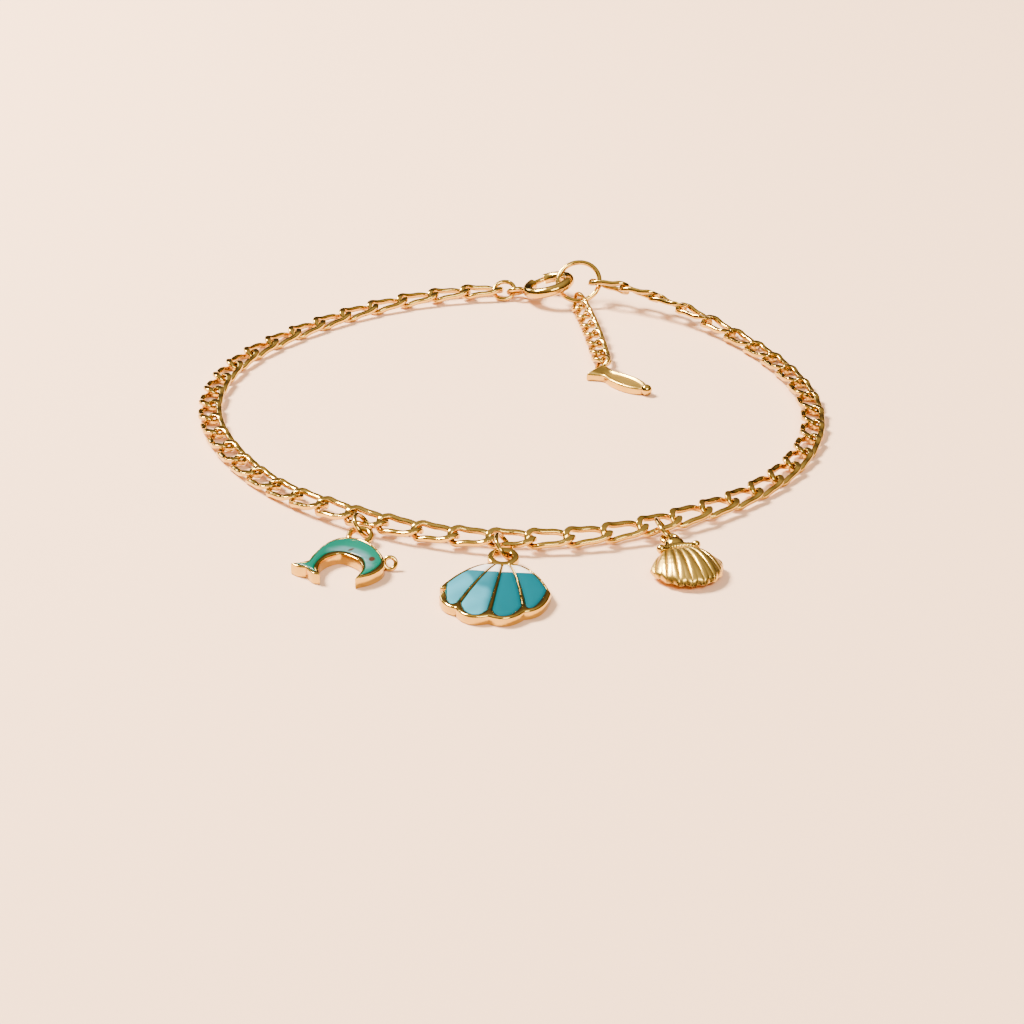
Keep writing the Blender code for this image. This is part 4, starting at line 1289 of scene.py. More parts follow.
@dataclass
class Dolphin(Charm):
    """The dolphin charm: a gold rim about a domed enamel; outlines in shares of its size.

    Args:
        length: length of the dolphin.
        height: height of its arch.
        thick: thickness.
        fill: depth of the enamel's pocket.
        edge: rounding of the metal's upper edges.
        rise: how far the enamel's dome rises over its edge.
        top: where the loop is soldered.
        eyelet: outer size of the eyelet at the head.
        eyelet_at: its place in length, height and thickness.
        eyelet_wire: its wire over the loop's.
        eyelet_tilt: its tilt.
        eye: the eye's place.
        comma: the small mark's place.
        belly: the path along the belly's paler colour and painted sheen.
        outline: the metal's outline.
        enamel: the pocket's outline.
    """

    link: int = -4
    shift: float = 0.3
    heading: float = np.radians(-97)
    stretch: float = 0.3
    length: float = 8.05
    height: float = 8.1
    thick: float = 1.1
    fill: float = 0.35
    edge: float = 0.13
    rise: float = 0.16
    top: tuple[float, float] = (0.19, 0.455)
    eyelet: float = 1.4
    eyelet_at: tuple[float, float, float] = (0.49, -0.06, 0.6)
    eyelet_wire: float = 0.8
    eyelet_tilt: float = np.radians(62)
    eye: tuple[float, float] = (0.363, -0.085)
    comma: tuple[float, float] = (0.129, 0.15)
    belly: tuple[tuple[float, float], ...] = (
        (-0.06, 0.14), (0.04, 0.16), (0.14, 0.12), (0.24, 0.03), (0.30, -0.12), (0.31, -0.24))
    outline: tuple[Knot, ...] = (
        (-0.50, -0.16, True), (-0.33, -0.10, False), (-0.28, 0.03, False), (-0.18, 0.28, False),
        (-0.04, 0.45, False), (0.12, 0.48, False), (0.27, 0.40, False), (0.40, 0.21, False),
        (0.49, -0.04, False), (0.49, -0.26, False), (0.37, -0.43, False), (0.20, -0.52, True),
        (0.26, -0.34, False), (0.26, -0.21, False), (0.20, -0.07, False), (0.03, 0.07, False),
        (-0.10, 0.01, False), (-0.18, -0.12, False), (-0.20, -0.27, False), (-0.18, -0.42, True),
        (-0.26, -0.39, False), (-0.34, -0.26, True), (-0.43, -0.23, False))
    enamel: tuple[Knot, ...] = (
        (-0.455, -0.152, True), (-0.33, -0.135, False), (-0.282, -0.04, False),
        (-0.19, 0.24, False), (-0.05, 0.415, False), (0.11, 0.45, False), (0.25, 0.375, False),
        (0.375, 0.20, False), (0.455, -0.03, False), (0.455, -0.17, False), (0.36, -0.36, False),
        (0.245, -0.455, True), (0.29, -0.32, False), (0.295, -0.19, False), (0.245, -0.01, False),
        (0.04, 0.135, False), (-0.12, 0.09, False), (-0.215, -0.08, False), (-0.25, -0.24, False),
        (-0.225, -0.355, True), (-0.335, -0.235, True))

    def __post_init__(self) -> None:
        """Hang the charm and lay out its outlines."""
        self.hang(self.thick / 2)
        top = np.array([self.top[0] * self.length, self.top[1] * self.height, 0])
        self.corner = self.top_edge + (0, GAP.solder, 0) - top
        self.rim = outline_of(self.outline, self.length, self.height, 14)
        self.pocket = outline_of(self.enamel, self.length, self.height, 12)

    def _gold(self) -> Shape:
        """Return the rim, whose top falls as quarter circles to the outline and to the pocket."""
        shoulder = self.thick - self.edge
        top = cap(self.rim, [self.pocket], 0.12, [0.02, 0.05, 0.09],
                  lambda points, reach: self.thick - rounding(reach, self.edge))
        wall = skirt(self.rim, [(0, shoulder), (0, 0.12), (0.04, 0.04), (0.1, 0.0)])
        inner = skirt(self.pocket, [(0, shoulder), (0, self.thick - self.fill)])
        body = Shape.joined([top, wall, inner]).placed(shifted(*self.corner))
        wire = self.eyelet_wire * self.loop_wire
        x, y, z = self.eyelet_at
        side = self.corner + (x * self.length + (self.eyelet - wire) / 2, y * self.height,
                              self.thick * z)
        eyelet = ring(side, np.array([1.0, 0, 0]), self.eyelet_tilt, self.eyelet, wire * 1.15)
        return Shape.joined([body, self.loop_ring(), eyelet])

    def _paint(self, flat: Array) -> dict[str, Array]:
        """Return the enamel's zones, from distances to the places where the colours lie.

        Args:
            flat: points in shares of length and height.

        Returns:
            tint (paler belly colour with a painted sheen), shade (darker towards the back) and mark
            (eye and comma) for each point.
        """
        path, steps = np.array(self.belly), np.linspace(0, 5, BELLY_STEPS)
        belly = np.stack([np.interp(steps, np.arange(6), path[:, axis]) for axis in (0, 1)], 1)
        gaps = np.sqrt(((flat[:, None] - belly[None]) ** 2).sum(-1))
        streaks = 0.85 + 0.15 * np.sin(60 * flat[:, 1] + 25 * flat[:, 0])
        belly_and_sheen = smooth(0.5 + gaps.argmin(1) / 20) * streaks
        eye = np.linalg.norm((flat - self.eye) * (1.0, 0.65), axis=1)
        slant = np.array([[0.8, 0.6], [-0.6, 0.8]])
        comma = np.linalg.norm((flat - self.comma) @ slant.T * (1.0, 2.2), axis=1)
        # The belly zone is partly its paler colour and partly a painted sheen; the back zone only
        # darkens the enamel towards the back.
        return {
            "tint": belly_and_sheen * (1 - smooth((gaps.min(1) - 0.01) / 0.1)),
            "shade": smooth(0.5 - (flat[:, 0] - flat[:, 1] * 0.6 + 0.15) / 0.5),
            "mark": np.maximum(1 - smooth((eye - 0.028) / 0.014),
                               0.9 * (1 - smooth((comma - 0.032) / 0.02))),
        }

    def _glaze(self) -> Shape:
        """Return the enamel: a low dome, the root of 1 - (1 - reach / 1.5)^2, with its colour zones.
        """
        fill = inward(self.pocket, 0.015)
        high = self.thick - 0.06

        def height(points: Array, reach: Array) -> Array:
            """Return the dome's heights."""
            return high + self.rise * np.sqrt(1 - (1 - np.clip(reach / 1.5, 0, 1)) ** 2)

        top = cap(fill, [], 0.1, [0.04, 0.1, 0.18], height)
        top.values.update(self._paint(top.points[:, :2] / (self.length, self.height)))
        wall = skirt(fill, [(0, high), (0, self.thick - self.fill + 0.02)])
        return Shape.joined([top, wall]).placed(shifted(*self.corner))

    def build(self, shop: "Shop") -> None:
        """Make the dolphin's pieces and dress them in gold and teal.

        Args:
            shop: the shop that finishes pieces.
        """
        shop.add("dolphin_link", self.jump_ring(), Slot.GOLD, "dolphin_ring")
        shop.add("dolphin_rim", self._gold(), Slot.GOLD, "dolphin_body")
        shop.add("dolphin_glaze", self._glaze(), Slot.TEAL, "dolphin_enamel")


def fan_point(fan: FanSize, s: Array, t: Array, scallop: float | None = None) -> tuple[Array, Array]:
    """Return a shell's plan.

    The width is a sine of s times t ^ bow, the depth falls off with |s| ^ 2.1, and both swell
    with the lobes |sin(pi ribs s / 2)|.

    Args:
        fan: the shell's sizes.
        s: place across it, from -1 to 1.
        t: place down it, from hinge to rim.
        scallop: depth of the scallops where it isn't the fan's own.

    Returns:
        Widths and depths.
    """
    deepness = fan.scallop if scallop is None else scallop
    lobes = 1 + deepness * (np.abs(np.sin(np.pi * fan.ribs * s / 2)) - 0.5)
    wide = fan.half * np.sin(fan.spread * s) / np.sin(fan.spread) * lobes
    deep = (fan.length - (fan.length - fan.corner) * np.abs(s) ** 2.1) * lobes
    return fan.neck * s * (1 - t) + wide * t ** (fan.bow - 0.2 * s * s), deep * t


@dataclass
class BlueShell(Charm):
    """The enamelled shell: gold rim and ribs, four aqua cells with white upper ends.

    Args:
        fan: the shell's plan.
        cells: number of cells.
        thick: thickness.
        fill: depth of the pockets.
        crown: how far the metal rises over the thickness.
        soft: rounding of the metal's edges.
        rim_width: width of the rim at the cells' lower ends.
        edge: width of the rim at the sides.
        rib: width of a rib at the hinge.
        flare: how far a rib widens to the rim.
        white: depth at which the white ends.
        lean: slope of the shell.
        turn: its turn about the vertical.
        notch: place of the notch across the rim.
        notch_depth: depth of the notch as a share.
        curl: height of the small curl beside the notch.
        band_width: width of the bail's band.
        dome: height of a filling's dome.
        dome_reach: distance from the metal at which the dome is full.
    """

    shift: float = -0.55
    heading: float = np.radians(-92)
    stretch: float = 0.7
    loop: float = 2.6
    loop_wire: float = 0.34
    fan: FanSize = FanSize(4.9, 10.2, 5.3, 0.75, 0.75, 0.05, 4)
    cells: int = 4
    thick: float = 0.85
    fill: float = 0.3
    crown: float = 0.06
    soft: float = 0.2
    rim_width: float = 0.42
    edge: float = 0.26
    rib: float = 0.2
    flare: float = 0.26
    white: float = 1.65
    lean: float = np.radians(0.6)
    turn: float = np.radians(-5)
    notch: float = -0.93
    notch_depth: float = 0.11
    curl: float = 0.24
    band_width: float = 0.5
    dome: float = 0.11
    dome_reach: float = 0.9

    def __post_init__(self) -> None:
        """Hang the charm and lay out its outlines."""
        rise = self.fan.length * np.sin(self.lean)
        self.hang(rise + self.thick / 2)
        self.place = (self.hung(GAP.solder) @ turned(self.turn, "Z") @ shifted(z=rise)
                      @ turned(self.lean, "Y"))
        self.rim = self._outline()
        self.pockets = [self._cell(cell, self.edge, 0.0, True, 0.0) for cell in range(self.cells)]

    def _outline(self) -> Array:
        """Return the shell's outline with the notch, a Gaussian dip, near one corner."""
        s = np.linspace(-1, 1, RIM_STEPS)
        wide, deep = fan_point(self.fan, s, np.ones_like(s))
        notch = 1 - self.notch_depth * np.exp(-((s - self.notch) / 0.04) ** 2)
        rim = np.stack([deep * notch, wide * notch], 1)
        t = np.linspace(0.97, 0.0, FLANK_STEPS) ** 1.5
        wide, deep = fan_point(self.fan, np.ones_like(t), t)
        right = np.stack([deep, wide], 1)
        return np.vstack([rim, right, right[::-1][1:] * (1, -1)])

    def _cell_point(self, cell: int, q: Array, t: Array, inset: float) -> Array:
        """Return points of a cell.

        Args:
            cell: the cell.
            q: place across it, from -1 to 1.
            t: place down the shell.
            inset: distance from the metal.

        Returns:
            Points in the shell's plan.
        """
        low, high = -1 + 2 * cell / self.cells, -1 + 2 * (cell + 1) / self.cells
        rib = (self.rib + self.flare * t) / 2
        first, last = cell == 0, cell == self.cells - 1
        left = fan_point(self.fan, low, t)[0] + (self.edge if first else rib) + inset
        right = fan_point(self.fan, high, t)[0] - (self.edge if last else rib) - inset
        s = low + (q + 1) / 2 * (high - low)
        across = (left + right) / 2 + q * (right - left) / 2
        return np.stack([fan_point(self.fan, s, t)[1], across], -1)

    def _share(self, cell: int, q: Array, depth: Array) -> Array:
        """Return the t at which a cell's line lies at a depth.

        Args:
            cell: the cell.
            q: the line's place across it.
            depth: distance below the hinge.

        Returns:
            Places down the shell.
        """
        s = -1 + (2 * cell + q + 1) / self.cells
        return depth / fan_point(self.fan, s, 1.0)[1]

    def _cell(self, cell: int, top: float, bottom: float, rounded: bool, inset: float,
              wave: float = 0.0) -> Array:
        """Return a filling's outline between two depths below the hinge.

        Args:
            cell: the cell.
            top: depth of its upper end.
            bottom: depth of its lower end where that isn't the rim.
            rounded: whether it ends at the rim.
            inset: distance from the metal.
            wave: how far a cross boundary bows.

        Returns:
            The closed outline.
        """
        q = np.linspace(-1, 1, CELL_STEPS)
        bow = wave * (1 - q * q)
        depth = top + inset + (bow if rounded else 0)
        upper = self._cell_point(cell, q, self._share(cell, q, depth), inset)
        if rounded:
            t = 1 - (self.rim_width + 1.8 * inset) / self.fan.length - 0.075 * np.abs(q) ** 3
            t = t - 0.05 * np.abs(q) * ((q < 0) & (cell == 0))
        else:
            t = self._share(cell, q, bottom - inset + bow)
        lower = self._cell_point(cell, q, t, inset)
        steps = np.linspace(0, 1, 34 if rounded else 12)[1:-1] ** 1.6
        sides = []
        for end, row in ((1.0, -1), (-1.0, 0)):
            start, stop = (self._share(cell, end, edge[row, 0]) for edge in (upper, lower))
            line = start + (stop - start) * steps
            sides.append(self._cell_point(cell, np.full(len(steps), end), line, inset))
        return np.vstack([upper, sides[0], lower[::-1], sides[1][::-1]])

    def _gold(self) -> Shape:
        """Return the body: rounded rim and ribs, with a small curl beside the notch."""
        wide, deep = fan_point(self.fan, self.notch + 0.045, 1.0)
        curl = np.array([deep * 0.955, wide * 0.94])
        high = self.thick + self.crown

        def height(points: Array, reach: Array) -> Array:
            """Return quarter circles at every edge, and the curl as a Gaussian swelling.

            Args:
                points: points in the shell's plan.
                reach: their distances to the nearest edge.

            Returns:
                The height at each point.
            """
            near = np.linalg.norm(points - curl, axis=1)
            curled = self.curl * np.exp(-(near / 0.5) ** 2) * smooth(reach / 0.3)
            return high - rounding(reach, self.soft) + curled

        top = cap(self.rim, self.pockets, 0.14, [0.02, 0.05, 0.09, 0.15], height)
        shoulder = high - self.soft
        wall = skirt(self.rim, [(0, shoulder), (0, 0.12), (0.04, 0.04), (0.1, 0.0)])
        inner = [skirt(pocket, [(0, shoulder), (0, self.thick - self.fill)])
                 for pocket in self.pockets]
        return Shape.joined([Shape.joined([top, wall, *inner]).placed(self.place), self._band()])

    def _band(self) -> Shape:
        """Return the bail: a wide band bent to a ring, its section a rounded rectangle.

        Its inner side is drawn in, its outer side drawn out, and it grows higher to its far side
        by a smooth step.
        """
        radius = (self.loop - self.loop_wire) / 2
        u = circle(BAND_STEPS)
        path = radius * np.stack([np.cos(u), np.sin(u), 0 * u], 1)
        band = sweep(path, superellipse(self.loop_wire, self.band_width, 4, 24), UP, True)
        side = band.points[:, 0] / radius
        inner = np.linalg.norm(band.points[:, :2], axis=1, keepdims=True) < radius
        band.points[:, :2] *= np.where(inner, 0.83, 1.06)
        band.points[:, 2] *= 1 + 0.9 * smooth(side * 0.5 + 0.6)
        return band.placed(basis(self.loop_centre, self.loop_along, np.cross(UP, self.along)))

    def _filling(self, cell: int, white: bool) -> Shape:
        """Return a filling: a low dome over its cell, with a painted sky reflection as a paler zone
        and painted shade along the metal.

        Args:
            cell: the cell.
            white: whether it is the white upper end.

        Returns:
            The closed filling.
        """
        top, bottom = (self.edge, self.white) if white else (self.white, 0.0)
        outline = self._cell(cell, top, bottom, not white, 0.012, 0.1)
        pocket = self.pockets[cell]
        high = self.thick - 0.05

        def height(points: Array, reach: Array) -> Array:
            """Return the dome's heights, from the distances to the metal."""
            clear = np.clip(distance_to(points, pocket) / self.dome_reach, 0, 1)
            return high + self.dome * np.sqrt(1 - (1 - clear) ** 2)

        sheet = cap(outline, [], 0.11, [0.04, 0.1, 0.18], height)
        depth, across = sheet.points[:, 0] / self.fan.length, sheet.points[:, 1] / self.fan.half
        # Painted sky reflection: the cells on the left are paler, most towards the rim.
        start = 0.40 + 0.6 * (across + 0.25) + 0.03 * np.sin(14 * across)
        sky = smooth((0.03 - across) / 0.22) * (0.3 + 0.7 * smooth((depth - start) / 0.1))
        sheet.values["tint"] = sky * (0.88 + 0.12 * np.sin(16 * depth + 9 * across))
        # Painted shade: the enamel darkens within 0.3 mm of the metal walls of its cell.
        clear = distance_to(sheet.points[:, :2], pocket)
        sheet.values["shade"] = 1 - smooth((clear - 0.02) / 0.3)
        wall = skirt(outline, [(0, height(outline, np.zeros(len(outline)))),
                               (0, self.thick - self.fill + 0.02)])
        return Shape.joined([sheet, wall]).placed(self.place)

    def build(self, shop: "Shop") -> None:
        """Make the shell's pieces and dress them in gold, aqua and white.

        Args:
            shop: the shop that finishes pieces.
        """
        shop.add("shell_link", self.jump_ring(), Slot.GOLD, "shell_ring")
        shop.add("shell_frame", self._gold(), Slot.GOLD, "shell_body")
        for cell in range(self.cells):
            for tone, slot in (("aqua", Slot.AQUA), ("white", Slot.WHITE)):
                shop.add(f"{tone}_glaze_{cell + 1}", self._filling(cell, slot is Slot.WHITE), slot,
                         f"shell_{tone}_{cell + 1}")


@dataclass
class CastShell(Charm):
    """The cast shell with its collar, beads, cap and loop.

    Args:
        fan: the shell's plan.
        rib_height: height of the ribs.
        rim_height: height of the rim.
        dome: height of the dome over the rim.
        scallop: depth of the rim's scallops.
        lip: rounding of the rim.
        turn: the shell's turn about the vertical.
        cap_size: size of the round cap.
        collar: thickness of the collar.
        collar_half: its half length.
        collar_sag: how far its ends bend down.
        bead: size of the beads at its ends.
        matte: how matte the shell is.
    """

    link: int = 4
    shift: float = -0.1
    heading: float = np.radians(-78)
    stretch: float = 1.0
    loop: float = 1.8
    fan: FanSize = FanSize(3.3, 6.0, 2.45, 1.35, 1.0, 0.0, 8)
    rib_height: float = 0.16
    rim_height: float = 0.8
    dome: float = 1.25
    scallop: float = 0.07
    lip: float = 0.25
    turn: float = np.radians(4)
    cap_size: float = 2.0
    collar: float = 0.62
    collar_half: float = 1.75
    collar_sag: float = 0.55
    bead: float = 0.8
    matte: float = 0.55

    def __post_init__(self) -> None:
        """Hang the charm and find its frame."""
        self.hang(self.cap_size / 2)
        self.place = self.hung(2 * GAP.solder - self.cap_size) @ turned(self.turn, "Z")
        self.high = self.rim_height + self.dome * 0.6

    def _top(self, s: Array, t: Array) -> Array:
        """Return the upper valve: ribs |cos| ^ 0.55 over a sine dome, with a rounded rim.

        Args:
            s: place across it, as a column.
            t: place down it, as a row.

        Returns:
            A grid of points.
        """
        dome = np.sin(np.pi * np.minimum(1, 0.12 + 0.88 * t)) ** 0.7 * (1 - s ** 4)
        ribs = np.abs(np.cos(np.pi * self.fan.ribs * s / 2)) ** 0.55
        fade = smooth(t / 0.25) * (1 - 0.35 * t ** 8)
        groove = 0.5 + 0.5 * np.cos(2 * np.pi * t * 9)
        wide, deep = fan_point(self.fan, s, t, self.scallop * 0.3)
        z = self.rim_height + self.dome * dome + 1.1 * self.rib_height * (ribs - 0.35) * fade
        z = z - 0.012 * groove * t * (1 - t) * 4
        edge = np.clip((np.maximum(np.abs(s), t) - 0.95) / 0.05, 0, 1)
        z = z - self.lip * (1 - np.sqrt(1 - edge ** 2))
        return np.stack(np.broadcast_arrays(deep, wide, z), -1)

    def _under(self, s: Array, t: Array) -> Array:
        """Return the shallow bowl below: a sine arch that lifts the middle off the floor.

        Args:
            s: place across it, as a column.
            t: place down it, as a row.

        Returns:
            A grid of points.
        """
        share = 1 - 0.05 * t
        wide, deep = fan_point(self.fan, s, t, self.scallop * 0.6)
        bowl = np.sin(np.pi * np.minimum(1, 0.3 + 0.7 * t)) ** 0.5 * (1 - s ** 4)
        low = self.rim_height * 0.55 * (1 - bowl)
        return np.stack(np.broadcast_arrays(deep * share, wide * share, low), -1)

    def _sheet(self) -> Shape:
        """Return both valves and the walls that join them along their four edges."""
        s = np.linspace(-1, 1, CAST_STEPS)[:, None]
        t = np.linspace(0, 1, CAST_ROWS)[None, :]
        top, under = self._top(s, t), self._under(s, t)
        pairs = ((under[:, -1], top[:, -1]), (under[0], top[0]), (under[-1], top[-1]),
                 (under[:, 0], top[:, 0]))
        walls = [Shape.grid(np.stack([low, (low + high) * 0.5 + (0, 0, -0.05), high]))
                 for low, high in pairs]
        satin = {"matte": self.matte + 0 * top[..., 0]}
        return Shape.joined([Shape.grid(top, values=satin), Shape.grid(under), *walls])

    def _collar(self) -> Shape:
        """Return the collar: a bent bar with fine rope grooves that run round it aslant."""
        count, sides = 120, 32
        y = np.linspace(-1, 1, count)
        path = np.stack([self.collar_sag * y * y, y * self.collar_half,
                         np.full(count, self.high)], 1)
        closed = np.concatenate([[0.0], np.ones(count - 2), [0.0]])
        bar = sweep(path, superellipse(self.collar, self.collar, 2, sides), UP, False, closed)
        grid = bar.points.reshape(count, sides, 3)
        turns = np.arange(count)[:, None] / 9.0 + np.arange(sides)[None] / sides * 2
        rope = 0.96 + 0.07 * np.abs(np.sin(np.pi * turns))
        grid = path[:, None] + (grid - path[:, None]) * rope[..., None]
        return Shape(grid.reshape(-1, 3), bar.faces)

    def _body(self) -> Shape:
        """Return the shell with everything soldered to it."""
        pieces = [self._sheet(), self._collar()]
        for side in (-1, 1):
            corner = (self.bead / 2, side * (self.collar_half - self.bead / 5),
                      self.high + self.bead / 7)
            pieces.append(globe(self.bead).placed(shifted(*corner)))
        shell = Shape.joined(pieces).placed(self.place)
        middle = shifted(self.cap_size / 2, 0, self.cap_size / 2 + GAP.floor)
        ball = globe(self.cap_size, 48).placed(self.hung(GAP.solder) @ middle)
        return Shape.joined([shell, ball, self.loop_ring()])

    def build(self, shop: "Shop") -> None:
        """Make the cast shell's pieces and dress them in gold.

        Args:
            shop: the shop that finishes pieces.
        """
        shop.add("cast_link", self.jump_ring(), Slot.GOLD, "cast_shell_ring")
        shop.add("cast_shell", self._body(), Slot.GOLD, "cast_shell_body")


# Finishes


@dataclass(frozen=True)
class GoldFinish:
    """A polished gold finish.

    Args:
        name: material name.
        colour: reflected colour.
        deep: colour that mottles it.
        roughness: mean roughness.
        matte: roughness where the mesh's "matte" value is 1.
        bump: strength of the surface's fine unevenness.
        bump_height: its height, in metres.
        mottle: scale of the mottling.
        grain: scale of the roughness's grain.
    """

    name: str = "polished_gold"
    colour: Colour = (0.70, 0.465, 0.10)
    deep: Colour = (0.54, 0.32, 0.05)
    roughness: float = 0.13
    matte: float = 0.42
    bump: float = 0.12
    bump_height: float = 0.00008
    mottle: float = 700.0
    grain: float = 5200.0


@dataclass(frozen=True)
class EnamelFinish:
    """A glossy enamel finish under a clear coat.

    Args:
        name: material name.
        base: main colour.
        tint: colour of the zone that the mesh's "tint" value marks: a painted sky reflection on the
            shell, and the dolphin's paler belly with a painted sheen.
        shade: colour of the zone that its "shade" value marks, painted shade along the shell's metal
            and a darker back on the dolphin; also the colour of the darker clouds.
        mark: colour of the small marks.
        roughness: mean roughness under the clear coat.
        specular: specular level of the enamel itself.
        coat: weight of the clear coat.
        coat_roughness: its roughness.
        coat_ior: its index of refraction.
        bump: strength of the surface's fine unevenness.
        bump_height: its height, in metres.
        cloud: scale of the soft clouds in it.
    """

    name: str
    base: Colour
    tint: Colour
    shade: Colour
    mark: Colour
    roughness: float
    specular: float = 0.12
    coat: float = 0.4
    coat_roughness: float = 0.06
    coat_ior: float = 1.3
    bump: float = 0.15
    bump_height: float = 0.0001
    cloud: float = 420.0


POLISHED = GoldFinish()
# The tint colours are painted sky reflection and sheen, on the dolphin also its paler belly; the
# shade colours are painted shade along the shell's metal, the dolphin's darker back and the darker
# clouds.
TEAL = EnamelFinish("teal_enamel", (0.0, 0.125, 0.082), (0.09, 0.19, 0.21), (0.0, 0.09, 0.06),
                    (0.05, 0.018, 0.01), 0.22)
AQUA = EnamelFinish("aqua_enamel", (0.0, 0.085, 0.11), (0.05, 0.29, 0.39), (0.0, 0.065, 0.085),
                    (0.0, 0.1, 0.15), 0.2)
WHITE = EnamelFinish("white_enamel", (0.86, 0.78, 0.72), (0.88, 0.80, 0.75), (0.74, 0.62, 0.54),
                     (0.5, 0.4, 0.35), 0.25)


class Palette:
    """The procedural materials, one for each of the record's slots."""

    def __init__(self) -> None:
        """Build the shared node group and the materials."""
        self.mottle = self._mottle_group()
        self.materials = {Slot.GOLD: self._gold(POLISHED), Slot.TEAL: self._enamel(TEAL),
                          Slot.AQUA: self._enamel(AQUA), Slot.WHITE: self._enamel(WHITE)}
        LOG.info("materials built")

    @staticmethod
    def _mottle_group() -> Tree:
        """Return the group that all finishes share: a soft noise over Object coordinates."""
        group = bpy.data.node_groups.new("mottle", "ShaderNodeTree")
        group.interface.new_socket("Scale", in_out="INPUT", socket_type="NodeSocketFloat")
        group.interface.new_socket("Cloud", in_out="OUTPUT", socket_type="NodeSocketFloat")
        source, result = group.nodes.new("NodeGroupInput"), group.nodes.new("NodeGroupOutput")
        place = group.nodes.new("ShaderNodeTexCoord")
        noise = group.nodes.new("ShaderNodeTexNoise")
        noise.inputs["Detail"].default_value = 3.0
        group.links.new(place.outputs["Object"], noise.inputs["Vector"])
        group.links.new(source.outputs["Scale"], noise.inputs["Scale"])
        group.links.new(noise.outputs["Fac"], result.inputs["Cloud"])
        return group

    @staticmethod
    def _blank(name: str) -> tuple[bpy.types.Material, bpy.types.ShaderNode]:
        """Return a new material and its shader.

        Args:
            name: the material's name.

        Returns:
            The material and its Principled node.
        """
        material = bpy.data.materials.new(name)
        material.use_nodes = True
        return material, material.node_tree.nodes["Principled BSDF"]

    def _noise(self, tree: Tree, scale: float) -> Socket:
        """Return the shared noise.

        Args:
            tree: the material's nodes.
            scale: the noise's scale.

        Returns:
            The noise's value.
        """
        node = tree.nodes.new("ShaderNodeGroup")
        node.node_tree = self.mottle
        node.inputs["Scale"].default_value = scale
        return node.outputs["Cloud"]

    @staticmethod
    def _span(tree: Tree, value: Socket, source: Sequence[float], target: Sequence[float]) -> Socket:
        """Return a value carried from one range to another.

        Args:
            tree: the material's nodes.
            value: the value.
            source: its range.
            target: the new range.

        Returns:
            The new value.
        """
        span = tree.nodes.new("ShaderNodeMapRange")
        for socket, number in zip(("From Min", "From Max", "To Min", "To Max"), (*source, *target)):
            span.inputs[socket].default_value = number
        tree.links.new(value, span.inputs["Value"])
        return span.outputs["Result"]

    @staticmethod
    def _blend(tree: Tree, share: Socket, first: Socket | None, second: Colour,
               base: Colour = (0, 0, 0)) -> Socket:
        """Return a mix of two colours.

        Args:
            tree: the material's nodes.
            share: the second colour's share.
            first: the first colour's socket, or None where base gives it.
            second: the second colour.
            base: the first colour where there is no socket.

        Returns:
            The mixed colour.
        """
        mix = tree.nodes.new("ShaderNodeMix")
        mix.data_type = "RGBA"
        mix.inputs["A"].default_value = (*base, 1)
        mix.inputs["B"].default_value = (*second, 1)
        if first is not None:
            tree.links.new(first, mix.inputs["A"])
        tree.links.new(share, mix.inputs["Factor"])
        return mix.outputs["Result"]

    @staticmethod
    def _value(tree: Tree, name: str) -> Socket:
        """Return a value that the mesh carries.

        Args:
            tree: the material's nodes.
            name: the value's name.

        Returns:
            The value.
        """
        node = tree.nodes.new("ShaderNodeAttribute")
        node.attribute_name = name
        return node.outputs["Fac"]

    @staticmethod
    def _bump(tree: Tree, height: Socket, strength: float, distance: float) -> Socket:
        """Return a normal bumped by a height.

        Args:
            tree: the material's nodes.
            height: the height.
            strength: strength of the bump.
            distance: height in metres that a value of 1 stands for.

        Returns:
            The normal.
        """
        bump = tree.nodes.new("ShaderNodeBump")
        bump.inputs["Strength"].default_value = strength
        bump.inputs["Distance"].default_value = distance
        tree.links.new(height, bump.inputs["Height"])
        return bump.outputs["Normal"]

    def _gold(self, finish: GoldFinish) -> bpy.types.Material:
        """Return a gold: mottled colour, grainy roughness and matte fields.

        Args:
            finish: its values.

        Returns:
            The material.
        """
        material, shader = self._blank(finish.name)
        tree = material.node_tree
        shader.inputs["Metallic"].default_value = 1.0
        mottle = self._noise(tree, finish.mottle)
        grain = self._noise(tree, finish.grain)
        share = self._span(tree, mottle, (0.42, 0.78), (0.0, 0.55))
        colour = self._blend(tree, share, None, finish.deep, finish.colour)
        tree.links.new(colour, shader.inputs["Base Color"])
        target = (finish.roughness * 0.7, finish.roughness * 1.5)
        rough = self._span(tree, grain, (0.3, 0.75), target)
        mix = tree.nodes.new("ShaderNodeMix")
        mix.inputs["B"].default_value = finish.matte
        tree.links.new(self._value(tree, "matte"), mix.inputs["Factor"])
        tree.links.new(rough, mix.inputs["A"])
        tree.links.new(mix.outputs["Result"], shader.inputs["Roughness"])
        normal = self._bump(tree, mottle, finish.bump, finish.bump_height)
        tree.links.new(normal, shader.inputs["Normal"])
        return material

    def _enamel(self, finish: EnamelFinish) -> bpy.types.Material:
        """Return an enamel: zones from the mesh's values, painted sheen and painted shade among
        them, and soft clouds under a clear coat.

        Args:
            finish: its values.

        Returns:
            The material.
        """
        material, shader = self._blank(finish.name)
        tree = material.node_tree
        for socket, number in (("Coat Weight", finish.coat), ("Coat IOR", finish.coat_ior),
                               ("Coat Roughness", finish.coat_roughness),
                               ("Specular IOR Level", finish.specular)):
            shader.inputs[socket].default_value = number
        cloud = self._noise(tree, finish.cloud)
